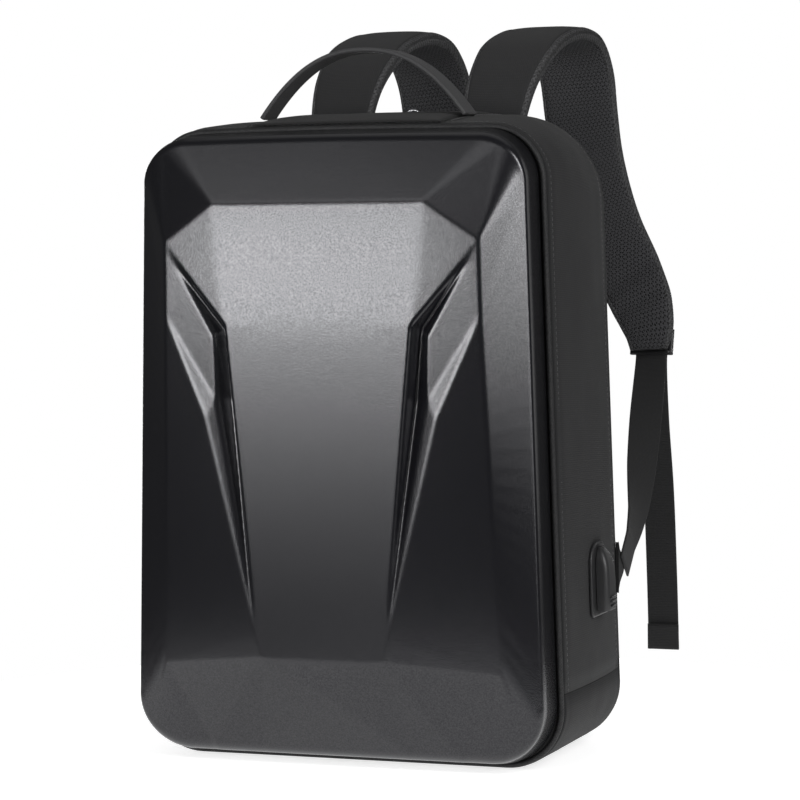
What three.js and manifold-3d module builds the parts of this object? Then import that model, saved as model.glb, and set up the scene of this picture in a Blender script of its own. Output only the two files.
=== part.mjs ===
// A hard shell backpack: a moulded, faceted front shell on a rectangular fabric body, with an arched grab
// handle, a side charging port, a padded back and two padded shoulder straps with webbing adjusters.
// Millimetres. +Z is up, -Y is the front (the shell), +Y is the back that lies against the wearer.
// The origin is the centre of the flat underside that the bag stands on.
import * as THREE from "three";
import { mergeVertices } from "three/addons/utils/BufferGeometryUtils.js";
import Module from "manifold-3d";

const wasm = await Module();
wasm.setup();

// Driving sizes of the fabric body
const BODY_DEPTH = 134; // front piping to back edge
const BODY_HALF_TOP = 152; // half width where the upper corners begin
const BODY_HALF_BOTTOM = 161.5; // half width where the lower corners begin
const BODY_HEIGHT = 456.5; // height of the body's front edge, at the sides of its top
const BODY_BACK_RISE = 8; // how much higher the back edge is than the front edge
const TOP_CROWN = 2; // rise of the top from its corners to its middle
const TOP_RADIUS_FRONT = 41; // upper corners at the front edge
const TOP_RADIUS_BACK = 66; // upper corners at the back edge
const BOTTOM_CORNER_RADIUS = 43;
const SIDE_BULGE = 2.5; // how far the fabric walls stand out at mid depth
const WALL_THICKNESS = 4.5; // fabric with foam behind it
const BASE_SEAM_HEIGHT = 54; // seam between the walls and the base panel
const EDGE_ROUNDING = 2.2; // softening of the walls' front and back edges

// Clearances
const SEAT_GAP = 0.3; // between pieces that touch
const SEAM_GAP = 0.4; // between two panels sewn edge to edge

// Front shell
const SHELL_INSET = 4; // shell's rim inside the body's outline
const SHELL_RELIEF = 60; // from the front piping to the raised middle panel
const SHELL_RIM_SETBACK = 8; // rim's distance in front of the piping
const SHELL_SIDE_WALL = 15.5; // straight depth of the shell's side before it rounds over
const SHELL_EDGE_RADIUS = 12.5; // rounding from the side wall to the facets
const SHELL_EDGE_TURN = (55 / 180) * Math.PI; // how far it rounds over
const SHELL_DRAFT = 2.5; // lean of the side wall, inwards towards the front
const SHELL_WALL = 3.2; // wall along Y
const SHELL_RIM_WALL = 2.6; // wall at the rim
const SHELL_HEM = 3.4; // width of the turned rim that the zip is sewn to

// Zip band and piping
const ZIP_INSET = 7.5; // zip band below the body's outline
const ZIP_THICKNESS = 2.2;
const PIPING_RADIUS = 2.1;

// Padded back
const BACK_PLATE_THICKNESS = 6;
const BACK_PLATE_INSET = 1;
const BACK_PAD_CROWN = 13;
const BACK_PAD_HALF_WIDTH = 118;
const BACK_PAD_LOW = 70;
const BACK_PAD_DROP = 69; // top of the pad below the body's back edge
const BACK_PAD_CORNER = 34;
const BACK_CHANNEL_HALF = 9; // half width of the air channel down the middle of the pad
const BACK_CHANNEL_DEPTH = 6;

// Top panel and handle
const TOP_PANEL_HALF = 73;
const TOP_PANEL_DEPTH = 112;
const TOP_PANEL_THICKNESS = 3;
const HANDLE_HALF_SPAN = 79;
const HANDLE_RISE = 48;
const HANDLE_WIDTH = 25;
const HANDLE_THICKNESS = 3.4;
const HANDLE_BACK = 46; // from the front piping to the handle's middle
const HANDLE_FULLNESS = 2.3; // exponent of the arch: 2 is a parabola, more is squarer

// Shoulder straps and webbing
const STRAP_THICKNESS = 13;
const STRAP_WIDTH = 62; // widest, over the shoulder
const STRAP_REACH = 168; // from the back plate to the far side of the arch
const STRAP_RISE = 63; // arch above the body's back edge
const STRAP_ROOT_X = 62; // middle of a strap where it is sewn on
const WEBBING_WIDTH = 25;
const WEBBING_THICKNESS = 1.6;
const TAIL_END_HEIGHT = 45; // free end of the webbing above the ground
const HEM_LENGTH = 20;
const LOCK_WIDTH = 35;
const LOCK_HEIGHT = 21;
const LOCK_THICKNESS = 4;
const LOCK_BAR = 4.6;
const LOCK_LIFT = 0.8; // slide lock's distance behind the strap's end
const WEBBING_DROP = 2.6; // webbing's start below the lock
const ANCHOR_HEIGHT = 129; // middle of the side tab that holds the webbing
const ANCHOR_LENGTH = 38;
const ANCHOR_REACH = 15;
const ANCHOR_THICKNESS = 2.4;

// Charging port on the right side
const PORT_BACK = 77; // from the front piping to the port's middle
const PORT_HEIGHT = 128; // middle of the port above the ground
const PORT_FLANGE_WIDTH = 40;
const PORT_FLANGE_HEIGHT = 54;
const PORT_FLANGE_THICKNESS = 2;
const HOOD_WIDTH = 21;
const HOOD_HEIGHT = 46;
const HOOD_PROUD = 9;
const RIB_COUNT = 3;
const RIB_SIZE = 1.1;
const RIB_PITCH = 3.2;

// Zip slider at the top of the back
const SLIDER_LENGTH = 13;
const SLIDER_WIDTH = 8;
const SLIDER_THICKNESS = 3;
const BRIDGE_RADIUS = 4.2;
const BRIDGE_WIRE = 1.5;
const SLIDER_SETBACK = 11; // slider's middle in front of the back edge
const SLIDER_X = 7;

// Mesh resolution
const CORNER_STEPS = 8;
const SIDE_STEPS = 6;
const TOP_STEPS = 8;
const BOTTOM_STEPS = 6;

// Places worked out from the sizes
const FRONT = -BODY_DEPTH / 2;
const BACK = BODY_DEPTH / 2;
const BACK_PLATE_FRONT = BACK + SEAT_GAP;
const BACK_PLATE_REAR = BACK_PLATE_FRONT + BACK_PLATE_THICKNESS;
const BACK_HEIGHT = BODY_HEIGHT + BODY_BACK_RISE;
const BACK_PAD_HIGH = BACK_HEIGHT - BACK_PAD_DROP;
const HANDLE_Y = FRONT + HANDLE_BACK;
const PORT_Y = FRONT + PORT_BACK;

const lerp = THREE.MathUtils.lerp;
const v3 = (x, y, z) => new THREE.Vector3(x, y, z);

function material(color, roughness, metalness = 0) {
  return new THREE.MeshStandardMaterial({ color, roughness, metalness, flatShading: true });
}

const MATERIALS = {
  shell: material(0x4a4b50, 0.35, 0.3),
  fabric: material(0x2b2b2d, 0.85),
  piping: material(0x232324, 0.6),
  zip: material(0x101012, 0.7),
  mesh: material(0x1b1b1c, 0.95),
  strap: material(0x29292b, 0.85),
  webbing: material(0x222224, 0.9),
  handle: material(0x343437, 0.6),
  rubber: material(0x1d1d1f, 0.5),
  plastic: material(0x19191a, 0.45),
  metal: material(0xc9c9cc, 0.25, 1),
};

// A closed surface through rows of points. Each row is a closed loop with the same number of points. The rows
// either meet end to end, as in a ring, or are capped by a fan at both ends.
function loft(rows, ring = false) {
  const count = rows[0].length;
  const points = rows.flat();
  const index = [];
  const last = ring ? rows.length : rows.length - 1;
  for (let i = 0; i < last; i++) {
    const a = i * count;
    const b = ((i + 1) % rows.length) * count;
    for (let j = 0; j < count; j++) {
      const k = (j + 1) % count;
      index.push(a + j, b + j, b + k, a + j, b + k, a + k);
    }
  }
  if (!ring) {
    const end = (rows.length - 1) * count;
    for (let j = 1; j < count - 1; j++) {
      index.push(0, j, j + 1);
      index.push(end, end + j + 1, end + j);
    }
  }
  return facingOut(points, index);
}

// A geometry from points and triangles, turned over if its faces point inwards.
function facingOut(points, index) {
  const position = new Float32Array(points.flatMap((p) => [p.x, p.y, p.z]));
  let volume = 0;
  for (let i = 0; i < index.length; i += 3) {
    const [a, b, c] = [points[index[i]], points[index[i + 1]], points[index[i + 2]]];
    volume += a.dot(b.clone().cross(c));
  }
  const turned = volume < 0 ? index.slice().reverse() : index;
  const geometry = new THREE.BufferGeometry();
  geometry.setAttribute("position", new THREE.BufferAttribute(position, 3));
  geometry.setIndex(turned);
  return geometry;
}

// Solid booleans on closed geometries.
function toSolid(geometry) {
  const bare = new THREE.BufferGeometry();
  bare.setAttribute("position", geometry.getAttribute("position"));
  if (geometry.index) bare.setIndex(geometry.index);
  const merged = mergeVertices(bare, 1e-4);
  return new wasm.Manifold(
    new wasm.Mesh({
      numProp: 3,
      vertProperties: merged.attributes.position.array,
      triVerts: new Uint32Array(merged.index.array),
    }),
  );
}

function toGeometry(solid) {
  const mesh = solid.getMesh();
  const geometry = new THREE.BufferGeometry();
  geometry.setAttribute("position", new THREE.BufferAttribute(mesh.vertProperties.slice(), 3));
  geometry.setIndex(new THREE.BufferAttribute(mesh.triVerts, 1));
  return geometry;
}

function boxAt(width, depth, height, x, y, z) {
  return new THREE.BoxGeometry(width, depth, height).translate(x, y, z);
}

const group = new THREE.Group();
group.name = "hard_shell_backpack";

function add(name, geometry, look) {
  const mesh = new THREE.Mesh(geometry, look);
  mesh.name = name;
  group.add(mesh);
  return mesh;
}

// The front view's outline, a rounded trapezoid with a crowned top, moved inwards by inset. It starts at the
// middle of the bottom and runs anticlockwise as seen from the front, with +X on the right.
function outline({ halfTop, halfBottom, low, high, crown, radius }, inset) {
  const topRadius = radius - inset;
  const bottomRadius = BOTTOM_CORNER_RADIUS - inset;
  const topX = halfTop - inset - topRadius;
  const topZ = high - inset - topRadius;
  const bottomX = halfBottom - inset - bottomRadius;
  const bottomZ = low + inset + bottomRadius;
  const right = [];
  for (let i = 0; i < BOTTOM_STEPS / 2; i++) {
    right.push([(bottomX * i) / (BOTTOM_STEPS / 2), low + inset]);
  }
  for (let i = 0; i < CORNER_STEPS; i++) {
    const turn = (-Math.PI / 2) * (1 - i / CORNER_STEPS);
    right.push([bottomX + bottomRadius * Math.cos(turn), bottomZ + bottomRadius * Math.sin(turn)]);
  }
  for (let i = 0; i < SIDE_STEPS; i++) {
    const share = i / SIDE_STEPS;
    right.push([lerp(halfBottom - inset, halfTop - inset, share), lerp(bottomZ, topZ, share)]);
  }
  for (let i = 0; i < CORNER_STEPS; i++) {
    const turn = (Math.PI / 2) * (i / CORNER_STEPS);
    right.push([topX + topRadius * Math.cos(turn), topZ + topRadius * Math.sin(turn)]);
  }
  for (let i = 0; i < TOP_STEPS / 2; i++) {
    right.push([topX * (1 - i / (TOP_STEPS / 2)), high - inset]);
  }
  const crowned = right.concat([[0, high - inset]]).map(([x, z]) => {
    const upper = Math.max(0, (z - topZ) / (high - inset - topZ));
    return [x, z + crown * upper * (1 - (x / halfTop) ** 2)];
  });
  const left = crowned.slice(1, -1).reverse().map(([x, z]) => [-x, z]);
  return crowned.concat(left);
}

// Named places on the outline, counted from the middle of the bottom.
const OUTLINE = {
  lowerCorner: BOTTOM_STEPS / 2,
  side: BOTTOM_STEPS / 2 + CORNER_STEPS,
  upperCorner: BOTTOM_STEPS / 2 + CORNER_STEPS + SIDE_STEPS,
  top: BOTTOM_STEPS / 2 + 2 * CORNER_STEPS + SIDE_STEPS,
  middle: BOTTOM_STEPS / 2 + 2 * CORNER_STEPS + SIDE_STEPS + TOP_STEPS / 2,
};

// The fabric body's outline at a depth, with the walls' bulge.
function bodyOutline(y, inset) {
  const share = (y - FRONT) / BODY_DEPTH;
  const bulge = SIDE_BULGE * 4 * share * (1 - share);
  const size = {
    halfTop: BODY_HALF_TOP,
    halfBottom: BODY_HALF_BOTTOM,
    low: 0,
    high: BODY_HEIGHT + BODY_BACK_RISE * share,
    crown: TOP_CROWN,
    radius: lerp(TOP_RADIUS_FRONT, TOP_RADIUS_BACK, share),
  };
  return outline(size, inset).map(([x, z]) => {
    const flat = Math.max(0, 1 - z / BOTTOM_CORNER_RADIUS);
    const out = bulge * (1 - flat);
    return [x * (1 + out / BODY_HALF_BOTTOM), z * (1 + out / BODY_HEIGHT)];
  });
}

// A ring round the body: each column is a place on the outline, and each profile entry is [y, inset].
function bodyRing(profile) {
  const loops = profile.map(([y, inset]) => bodyOutline(y, inset).map(([x, z]) => v3(x, y, z)));
  const rows = loops[0].map((_, i) => loops.map((loop) => loop[i]));
  return loft(rows, true);
}

// Fabric walls and base: one ring, split at the base panel's seam.
function makeBody() {
  const depths = [0, 0.25, 0.5, 0.75, 1].map((share) => FRONT + BODY_DEPTH * share);
  const outer = [
    [FRONT, EDGE_ROUNDING],
    [FRONT + EDGE_ROUNDING, 0],
    ...depths.slice(1, -1).map((y) => [y, 0]),
    [BACK - EDGE_ROUNDING, 0],
    [BACK, EDGE_ROUNDING],
  ];
  const inner = depths.slice().reverse().map((y) => [y, WALL_THICKNESS]);
  const whole = toSolid(bodyRing(outer.concat(inner)));
  const reach = 4 * BODY_HALF_BOTTOM;
  const above = toSolid(boxAt(reach, reach, reach, 0, 0, BASE_SEAM_HEIGHT + (SEAM_GAP + reach) / 2));
  const below = toSolid(boxAt(reach, reach, reach, 0, 0, BASE_SEAM_HEIGHT - (SEAM_GAP + reach) / 2));
  add("body_walls", toGeometry(whole.intersect(above)), MATERIALS.fabric);
  add("base_panel", toGeometry(whole.intersect(below)), MATERIALS.fabric);
}

// A round bead along the body's outline, in front of or behind its edge.
function piping(y) {
  const sides = 6;
  const profile = [];
  for (let i = 0; i < sides; i++) {
    const turn = (2 * Math.PI * (i + 0.5)) / sides;
    profile.push([y + PIPING_RADIUS * Math.cos(turn), PIPING_RADIUS * (1 + Math.sin(turn)) + SEAT_GAP]);
  }
  return bodyRing(profile);
}

function makePipingAndZip() {
  add("front_piping", piping(FRONT - PIPING_RADIUS - SEAT_GAP), MATERIALS.piping);
  const zipFront = FRONT - SHELL_RIM_SETBACK + SEAT_GAP;
  const zipBack = FRONT - SEAT_GAP;
  const flangeInset = 2 * PIPING_RADIUS + 2 * SEAT_GAP;
  const band = [
    [zipFront, ZIP_INSET],
    [zipBack - ZIP_THICKNESS, ZIP_INSET],
    [zipBack - ZIP_THICKNESS, flangeInset],
    [zipBack, flangeInset],
    [zipBack, ZIP_INSET + ZIP_THICKNESS],
    [zipFront, ZIP_INSET + ZIP_THICKNESS],
  ];
  add("zip_band", bodyRing(band), MATERIALS.zip);
}

// Corners of the shell's facets on its right half: [x, forward, up]. x is a share of the shell's half width
// at that height, forward a share of the relief, and up a share of the shell's height.
const FACET_CORNERS = {
  A: [0.531, 0.95, 0.890], // upper corner of the middle panel
  B: [0.795, 0.892, 0.830], // outer corner of the shoulder
  S: [0.744, 0.9, 0.801], // upper end of the groove
  E: [0.47, 0.992, 0.697], // elbow of the groove, on the middle panel
  F: [0.295, 1.0, 0.170], // lower corner of the middle panel
  G: [0.0, 0.935, 0.116], // lower point of the middle panel
  H: [0.535, 0.917, 0.681], // elbow of the groove, on the blade
  T: [0.527, 0.908, 0.580], // lower corner of the blade
  U: [0.794, 0.88, 0.716], // where the crest leaves the side
  V: [0.572, 0.958, 0.552], // crest beside the blade
  W: [0.32, 1.0, 0.209], // lower end of the groove
  K: [0.816, 0.71, 0.150], // outer lower corner of the side panel
  P: [0.488, 0.77, 0.688], // groove floor at its elbow
  Q: [0.46, 0.78, 0.580], // groove floor beside the blade
  R: [0.392, 0.86, 0.407], // groove floor, lower down
};

// The facets of the right half, by their corners. ring names a stretch of the shell's rounded edge.
const HALF_FACETS = [
  { corners: ["A", "B", "S", "E"] },
  { corners: ["B", "S", "H", "T", "U"] },
  { corners: ["U", "T", "W", "V"] },
  { corners: ["U", "V", "W", "F", "K"] },
  { corners: ["S", "E", "P"] },
  { corners: ["S", "P", "H"] },
  { corners: ["E", "P", "Q", "R", "W"] },
  { corners: ["H", "P", "Q", "T"] },
  { corners: ["T", "Q", "R", "W"] },
];

const SHELL_SIZE = {
  halfTop: BODY_HALF_TOP - SHELL_INSET,
  halfBottom: BODY_HALF_BOTTOM - SHELL_INSET,
  low: SHELL_INSET,
  high: BODY_HEIGHT - SHELL_INSET,
  crown: TOP_CROWN,
  radius: TOP_RADIUS_FRONT - SHELL_INSET,
};

// Triangles between two chains of points that run side by side.
function ladder(a, b) {
  const shares = (chain) => {
    const marks = [0];
    for (let i = 1; i < chain.length; i++) marks.push(marks[i - 1] + chain[i].distanceTo(chain[i - 1]));
    return marks.map((mark) => mark / marks[marks.length - 1]);
  };
  const [along, beside] = [shares(a), shares(b)];
  const middle = (marks, i) => (marks[i] + marks[i + 1]) / 2;
  const triangles = [];
  let [i, j] = [0, 0];
  while (i < a.length - 1 || j < b.length - 1) {
    const moveA = i < a.length - 1 && (j === b.length - 1 || middle(along, i) <= middle(beside, j));
    triangles.push(moveA ? [a[i], a[i + 1], b[j]] : [a[i], b[j], b[j + 1]]);
    if (moveA) i++;
    else j++;
  }
  return triangles;
}

// One skin of the shell: its facet corners, its edge loops from the rim to the facets, and its triangles.
function shellSkin(inset, back) {
  const rimY = FRONT - SHELL_RIM_SETBACK;
  const shoulder = SHELL_SIDE_WALL;
  const profile = [0, 0.33, 0.67, 1].map((share) => {
    const turn = SHELL_EDGE_TURN * share;
    return [
      SHELL_DRAFT + SHELL_EDGE_RADIUS * (1 - Math.cos(turn)),
      shoulder + SHELL_EDGE_RADIUS * Math.sin(turn),
    ];
  });
  const edge = [[0, 0]].concat(profile);
  const loops = edge.map(([step, forward], i) => {
    const y = rimY - forward + (i === 0 ? 0 : back);
    return outline(SHELL_SIZE, inset + step).map(([x, z]) => v3(x, y, z));
  });
  const corner = (name, side) => {
    const [x, forward, up] = FACET_CORNERS[name];
    return v3(
      side * x * lerp(SHELL_SIZE.halfBottom, SHELL_SIZE.halfTop, up),
      FRONT - forward * SHELL_RELIEF + back,
      SHELL_SIZE.low + up * (SHELL_SIZE.high - SHELL_SIZE.low),
    );
  };
  const inner = loops[loops.length - 1];
  const total = inner.length;
  const at = (i) => inner[((i % total) + total) % total];
  const stretch = (from, to) => Array.from({ length: to - from + 1 }, (_, i) => at(from + i));
  const mirrored = (i) => total - i;
  const cornerStart = OUTLINE.upperCorner + Math.round(CORNER_STEPS * 0.5625);
  const cornerEnd = OUTLINE.upperCorner + Math.round(CORNER_STEPS * 0.75);
  const lowerBreak = OUTLINE.lowerCorner + CORNER_STEPS / 2;
  const footBreak = Math.round(BOTTOM_STEPS / 4);
  const polygons = [];
  for (const side of [1, -1]) {
    const c = (name) => corner(name, side);
    for (const { corners } of HALF_FACETS) polygons.push(corners.map(c));
    const along = (from, to) =>
      side > 0 ? stretch(from, to) : stretch(mirrored(to), mirrored(from)).reverse();
    polygons.push(...ladder([c("B"), c("A")], along(cornerStart, cornerEnd)));
    polygons.push(...ladder([c("K"), c("U"), c("B")], along(lowerBreak, cornerStart)));
    polygons.push(...ladder([c("F"), c("K")], along(footBreak, lowerBreak)));
  }
  const R = (name) => corner(name, 1);
  const L = (name) => corner(name, -1);
  polygons.push(...ladder([R("A"), L("A")], stretch(cornerEnd, mirrored(cornerEnd))));
  polygons.push([R("F"), R("G"), at(footBreak)]);
  polygons.push([L("F"), at(-footBreak), L("G")]);
  polygons.push(...ladder([R("G")], stretch(-footBreak, footBreak)));
  polygons.push([R("A"), R("E"), L("E"), L("A")]);
  polygons.push([R("E"), R("W"), R("F"), L("F"), L("W"), L("E")]);
  polygons.push([R("F"), R("G"), L("F")]);
  return { loops, polygons };
}

// Triangles of a polygon that is simple in the front view, each with +X right and +Z up taken anticlockwise.
function facetTriangles(polygon) {
  const flat = polygon.map((p) => new THREE.Vector2(p.x, p.z));
  const contour = THREE.ShapeUtils.isClockWise(flat) ? polygon.slice().reverse() : polygon;
  const flatContour = contour.map((p) => new THREE.Vector2(p.x, p.z));
  return THREE.ShapeUtils.triangulateShape(flatContour, []).map((face) => face.map((i) => contour[i]));
}

// Front shell: an outer and an inner skin, joined by a turned hem at the rim.
function makeShell() {
  const triangles = [];
  const quads = (a, b, flip) => {
    for (let j = 0; j < a.length; j++) {
      const k = (j + 1) % a.length;
      const faces = [
        [a[j], a[k], b[k]],
        [a[j], b[k], b[j]],
      ];
      for (const face of faces) triangles.push(flip ? face.slice().reverse() : face);
    }
  };
  const outer = shellSkin(0, 0);
  const inner = shellSkin(SHELL_RIM_WALL, SHELL_WALL);
  for (const [skin, flip] of [[outer, false], [inner, true]]) {
    const { loops, polygons } = skin;
    for (let i = 0; i < loops.length - 1; i++) quads(loops[i], loops[i + 1], flip);
    for (const polygon of polygons) {
      for (const face of facetTriangles(polygon)) triangles.push(flip ? face.slice().reverse() : face);
    }
  }
  const hemY = FRONT - SHELL_RIM_SETBACK;
  const hemInset = SHELL_RIM_WALL + SHELL_HEM;
  const hemLoop = outline(SHELL_SIZE, hemInset).map(([x, z]) => v3(x, hemY, z));
  const hemInner = outline(SHELL_SIZE, hemInset).map(([x, z]) => v3(x, hemY - SHELL_RIM_WALL, z));
  const hemRoot = outline(SHELL_SIZE, SHELL_RIM_WALL).map(([x, z]) => v3(x, hemY - SHELL_RIM_WALL, z));
  quads(hemLoop, outer.loops[0], false);
  quads(hemInner, hemLoop, false);
  quads(hemRoot, hemInner, false);
  quads(inner.loops[1], hemRoot, false);
  const kept = triangles.filter((face) => !inner.loops[0].some((p) => face.includes(p)));
  const points = kept.flat();
  add("front_shell", weld(points), MATERIALS.shell);
}

// A geometry from a plain list of triangle corners, its shared corners merged.
function weld(points) {
  const raw = new THREE.BufferGeometry();
  raw.setAttribute(
    "position",
    new THREE.BufferAttribute(new Float32Array(points.flatMap((p) => [p.x, p.y, p.z])), 3),
  );
  const merged = mergeVertices(raw, 1e-3);
  const position = merged.attributes.position;
  const corners = Array.from({ length: position.count }, (_, i) => v3().fromBufferAttribute(position, i));
  return facingOut(corners, Array.from(merged.index.array));
}

// Back plate, which closes the body, and the crowned pad on it with an air channel down its middle.
function makeBack() {
  const loop = (y, inset) => bodyOutline(BACK, inset).map(([x, z]) => v3(x, y, z));
  const softening = 2;
  const plate = [
    loop(BACK_PLATE_FRONT, BACK_PLATE_INSET + softening),
    loop(BACK_PLATE_FRONT + softening, BACK_PLATE_INSET),
    loop(BACK_PLATE_REAR - softening, BACK_PLATE_INSET),
    loop(BACK_PLATE_REAR, BACK_PLATE_INSET + softening),
  ];
  add("back_plate", loft(plate), MATERIALS.fabric);
  add("back_pad", backPad(), MATERIALS.mesh);
}

function backPad() {
  const across = 12;
  const up = 12;
  const y0 = BACK_PLATE_REAR + SEAT_GAP;
  const middle = (BACK_PAD_LOW + BACK_PAD_HIGH) / 2;
  const halfHeight = (BACK_PAD_HIGH - BACK_PAD_LOW) / 2;
  // A square grid pulled in at its corners, so that the pad's outline is rounded.
  const place = (u, w) => {
    const pull = (1 - Math.SQRT1_2) * BACK_PAD_CORNER;
    const x = u * (BACK_PAD_HALF_WIDTH - pull * Math.abs(w) ** 6 * Math.abs(u) ** 6);
    const z = middle + w * (halfHeight - pull * Math.abs(w) ** 6 * Math.abs(u) ** 6);
    return [x, z];
  };
  const height = (u, w) => {
    const crown = BACK_PAD_CROWN * Math.sqrt(Math.max(0, (1 - u ** 6) * (1 - w ** 6)));
    const x = Math.abs(u) * BACK_PAD_HALF_WIDTH;
    const channel = Math.max(0, 1 - (x / (2 * BACK_CHANNEL_HALF)) ** 2);
    return Math.max(2, crown - BACK_CHANNEL_DEPTH * channel);
  };
  const edges = [-1, -0.97, -0.85, -0.6, -0.3, -0.08, 0.08, 0.3, 0.6, 0.85, 0.97, 1];
  const columns = edges.length;
  const points = [];
  const index = [];
  for (const front of [true, false]) {
    for (let j = 0; j <= up; j++) {
      const w = Math.sin((Math.PI / 2) * (-1 + (2 * j) / up));
      for (let i = 0; i < columns; i++) {
        const [x, z] = place(edges[i], w);
        points.push(v3(x, front ? y0 : y0 + height(edges[i], w), z));
      }
    }
  }
  const back = columns * (up + 1);
  const id = (i, j) => j * columns + i;
  for (let j = 0; j < up; j++) {
    for (let i = 0; i < columns - 1; i++) {
      const [a, b, c, d] = [id(i, j), id(i + 1, j), id(i + 1, j + 1), id(i, j + 1)];
      index.push(a, b, c, a, c, d);
      index.push(back + a, back + c, back + b, back + a, back + d, back + c);
    }
  }
  const rim = [];
  for (let i = 0; i < columns; i++) rim.push(id(i, 0));
  for (let j = 1; j <= up; j++) rim.push(id(columns - 1, j));
  for (let i = columns - 2; i >= 0; i--) rim.push(id(i, up));
  for (let j = up - 1; j > 0; j--) rim.push(id(0, j));
  rim.forEach((a, n) => {
    const b = rim[(n + 1) % rim.length];
    index.push(a, back + a, back + b, a, back + b, b);
  });
  return facingOut(points, index);
}

// Height of the body's top surface at a place on it.
function topHeight(x, y) {
  const loop = bodyOutline(y, 0).slice(OUTLINE.upperCorner, OUTLINE.middle + 1).reverse();
  for (let i = 0; i < loop.length - 1; i++) {
    const [x0, z0] = loop[i];
    const [x1, z1] = loop[i + 1];
    if (Math.abs(x) <= x1 + 1e-6) return lerp(z0, z1, (Math.abs(x) - x0) / (x1 - x0));
  }
  return loop[loop.length - 1][1];
}

// Top panel: a padded strip of fabric over the middle of the top, between the handle's ends.
function makeTopPanel() {
  const steps = 8;
  const depthShares = [0, 0.04, 0.3, 0.5, 0.7, 0.96, 1];
  const rows = [];
  for (let i = 0; i <= steps; i++) {
    const x = TOP_PANEL_HALF * (-1 + (2 * i) / steps);
    const y = (share) => FRONT + EDGE_ROUNDING + 1 + TOP_PANEL_DEPTH * share;
    const under = depthShares.map((share) => v3(x, y(share), topHeight(x, y(share)) + SEAT_GAP));
    const over = depthShares.map((share) => {
      const pad = TOP_PANEL_THICKNESS * (0.5 + 0.5 * Math.sqrt(4 * share * (1 - share)));
      return v3(x, y(share), topHeight(x, y(share)) + SEAT_GAP + pad);
    });
    rows.push(under.concat(over.reverse()));
  }
  add("top_panel", loft(rows), MATERIALS.piping);
}

// A solid strip along a path. Each station is a point with a width, a thickness and a roll in degrees; the
// width lies along +X where the roll is 0.
function strip(stations) {
  const curve = new THREE.CatmullRomCurve3(stations.map((s) => s.at), false, "centripetal");
  const steps = stations[0].steps ?? 24;
  const lengths = curve.getLengths(200);
  const whole = lengths[lengths.length - 1];
  const column = (share, key) => {
    const place = share * (stations.length - 1);
    const i = Math.min(Math.floor(place), stations.length - 2);
    return lerp(stations[i][key], stations[i + 1][key], place - i);
  };
  const rows = [];
  for (let i = 0; i <= steps; i++) {
    const t = curve.getUtoTmapping(i / steps, (i / steps) * whole);
    const at = curve.getPoint(t);
    const along = curve.getTangent(t);
    const width = column(t, "width");
    const thickness = column(t, "thick");
    const across = v3(1, 0, 0).applyAxisAngle(along, THREE.MathUtils.degToRad(column(t, "roll")));
    across.addScaledVector(along, -across.dot(along)).normalize();
    rows.push(bandSection(at, along, across, width, thickness));
  }
  return loft(rows);
}

// The section of a band across its path: a flat strip with both of its edges softened.
function bandSection(at, along, across, width, thickness) {
  const out = v3().crossVectors(along, across);
  const [w, h] = [width / 2, thickness / 2];
  const soft = Math.min(h, w * 0.9);
  const profile = [
    [-w, -h * 0.45],
    [-w + soft, -h],
    [w - soft, -h],
    [w, -h * 0.45],
    [w, h * 0.45],
    [w - soft, h],
    [-w + soft, h],
    [-w, h * 0.45],
  ];
  return profile.map(([a, b]) => at.clone().addScaledVector(across, a).addScaledVector(out, b));
}

// Grab handle: a flat band arched between the ends of the top panel.
function makeHandle() {
  const footZ = topHeight(HANDLE_HALF_SPAN, HANDLE_Y) + SEAT_GAP + HANDLE_THICKNESS * 0.45;
  const count = 13;
  const places = Array.from({ length: count }, (_, i) => {
    const x = -HANDLE_HALF_SPAN * Math.cos((Math.PI * i) / (count - 1));
    const rise = 1 - Math.abs(x / HANDLE_HALF_SPAN) ** HANDLE_FULLNESS;
    return v3(x, HANDLE_Y, footZ + HANDLE_RISE * rise);
  });
  const curve = new THREE.CatmullRomCurve3(places, false, "centripetal");
  const steps = 26;
  const rows = Array.from({ length: steps + 1 }, (_, i) => {
    const along = curve.getTangentAt(i / steps);
    return bandSection(curve.getPointAt(i / steps), along, v3(0, 1, 0), HANDLE_WIDTH, HANDLE_THICKNESS);
  });
  add("grab_handle", loft(rows), MATERIALS.handle);
}

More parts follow.
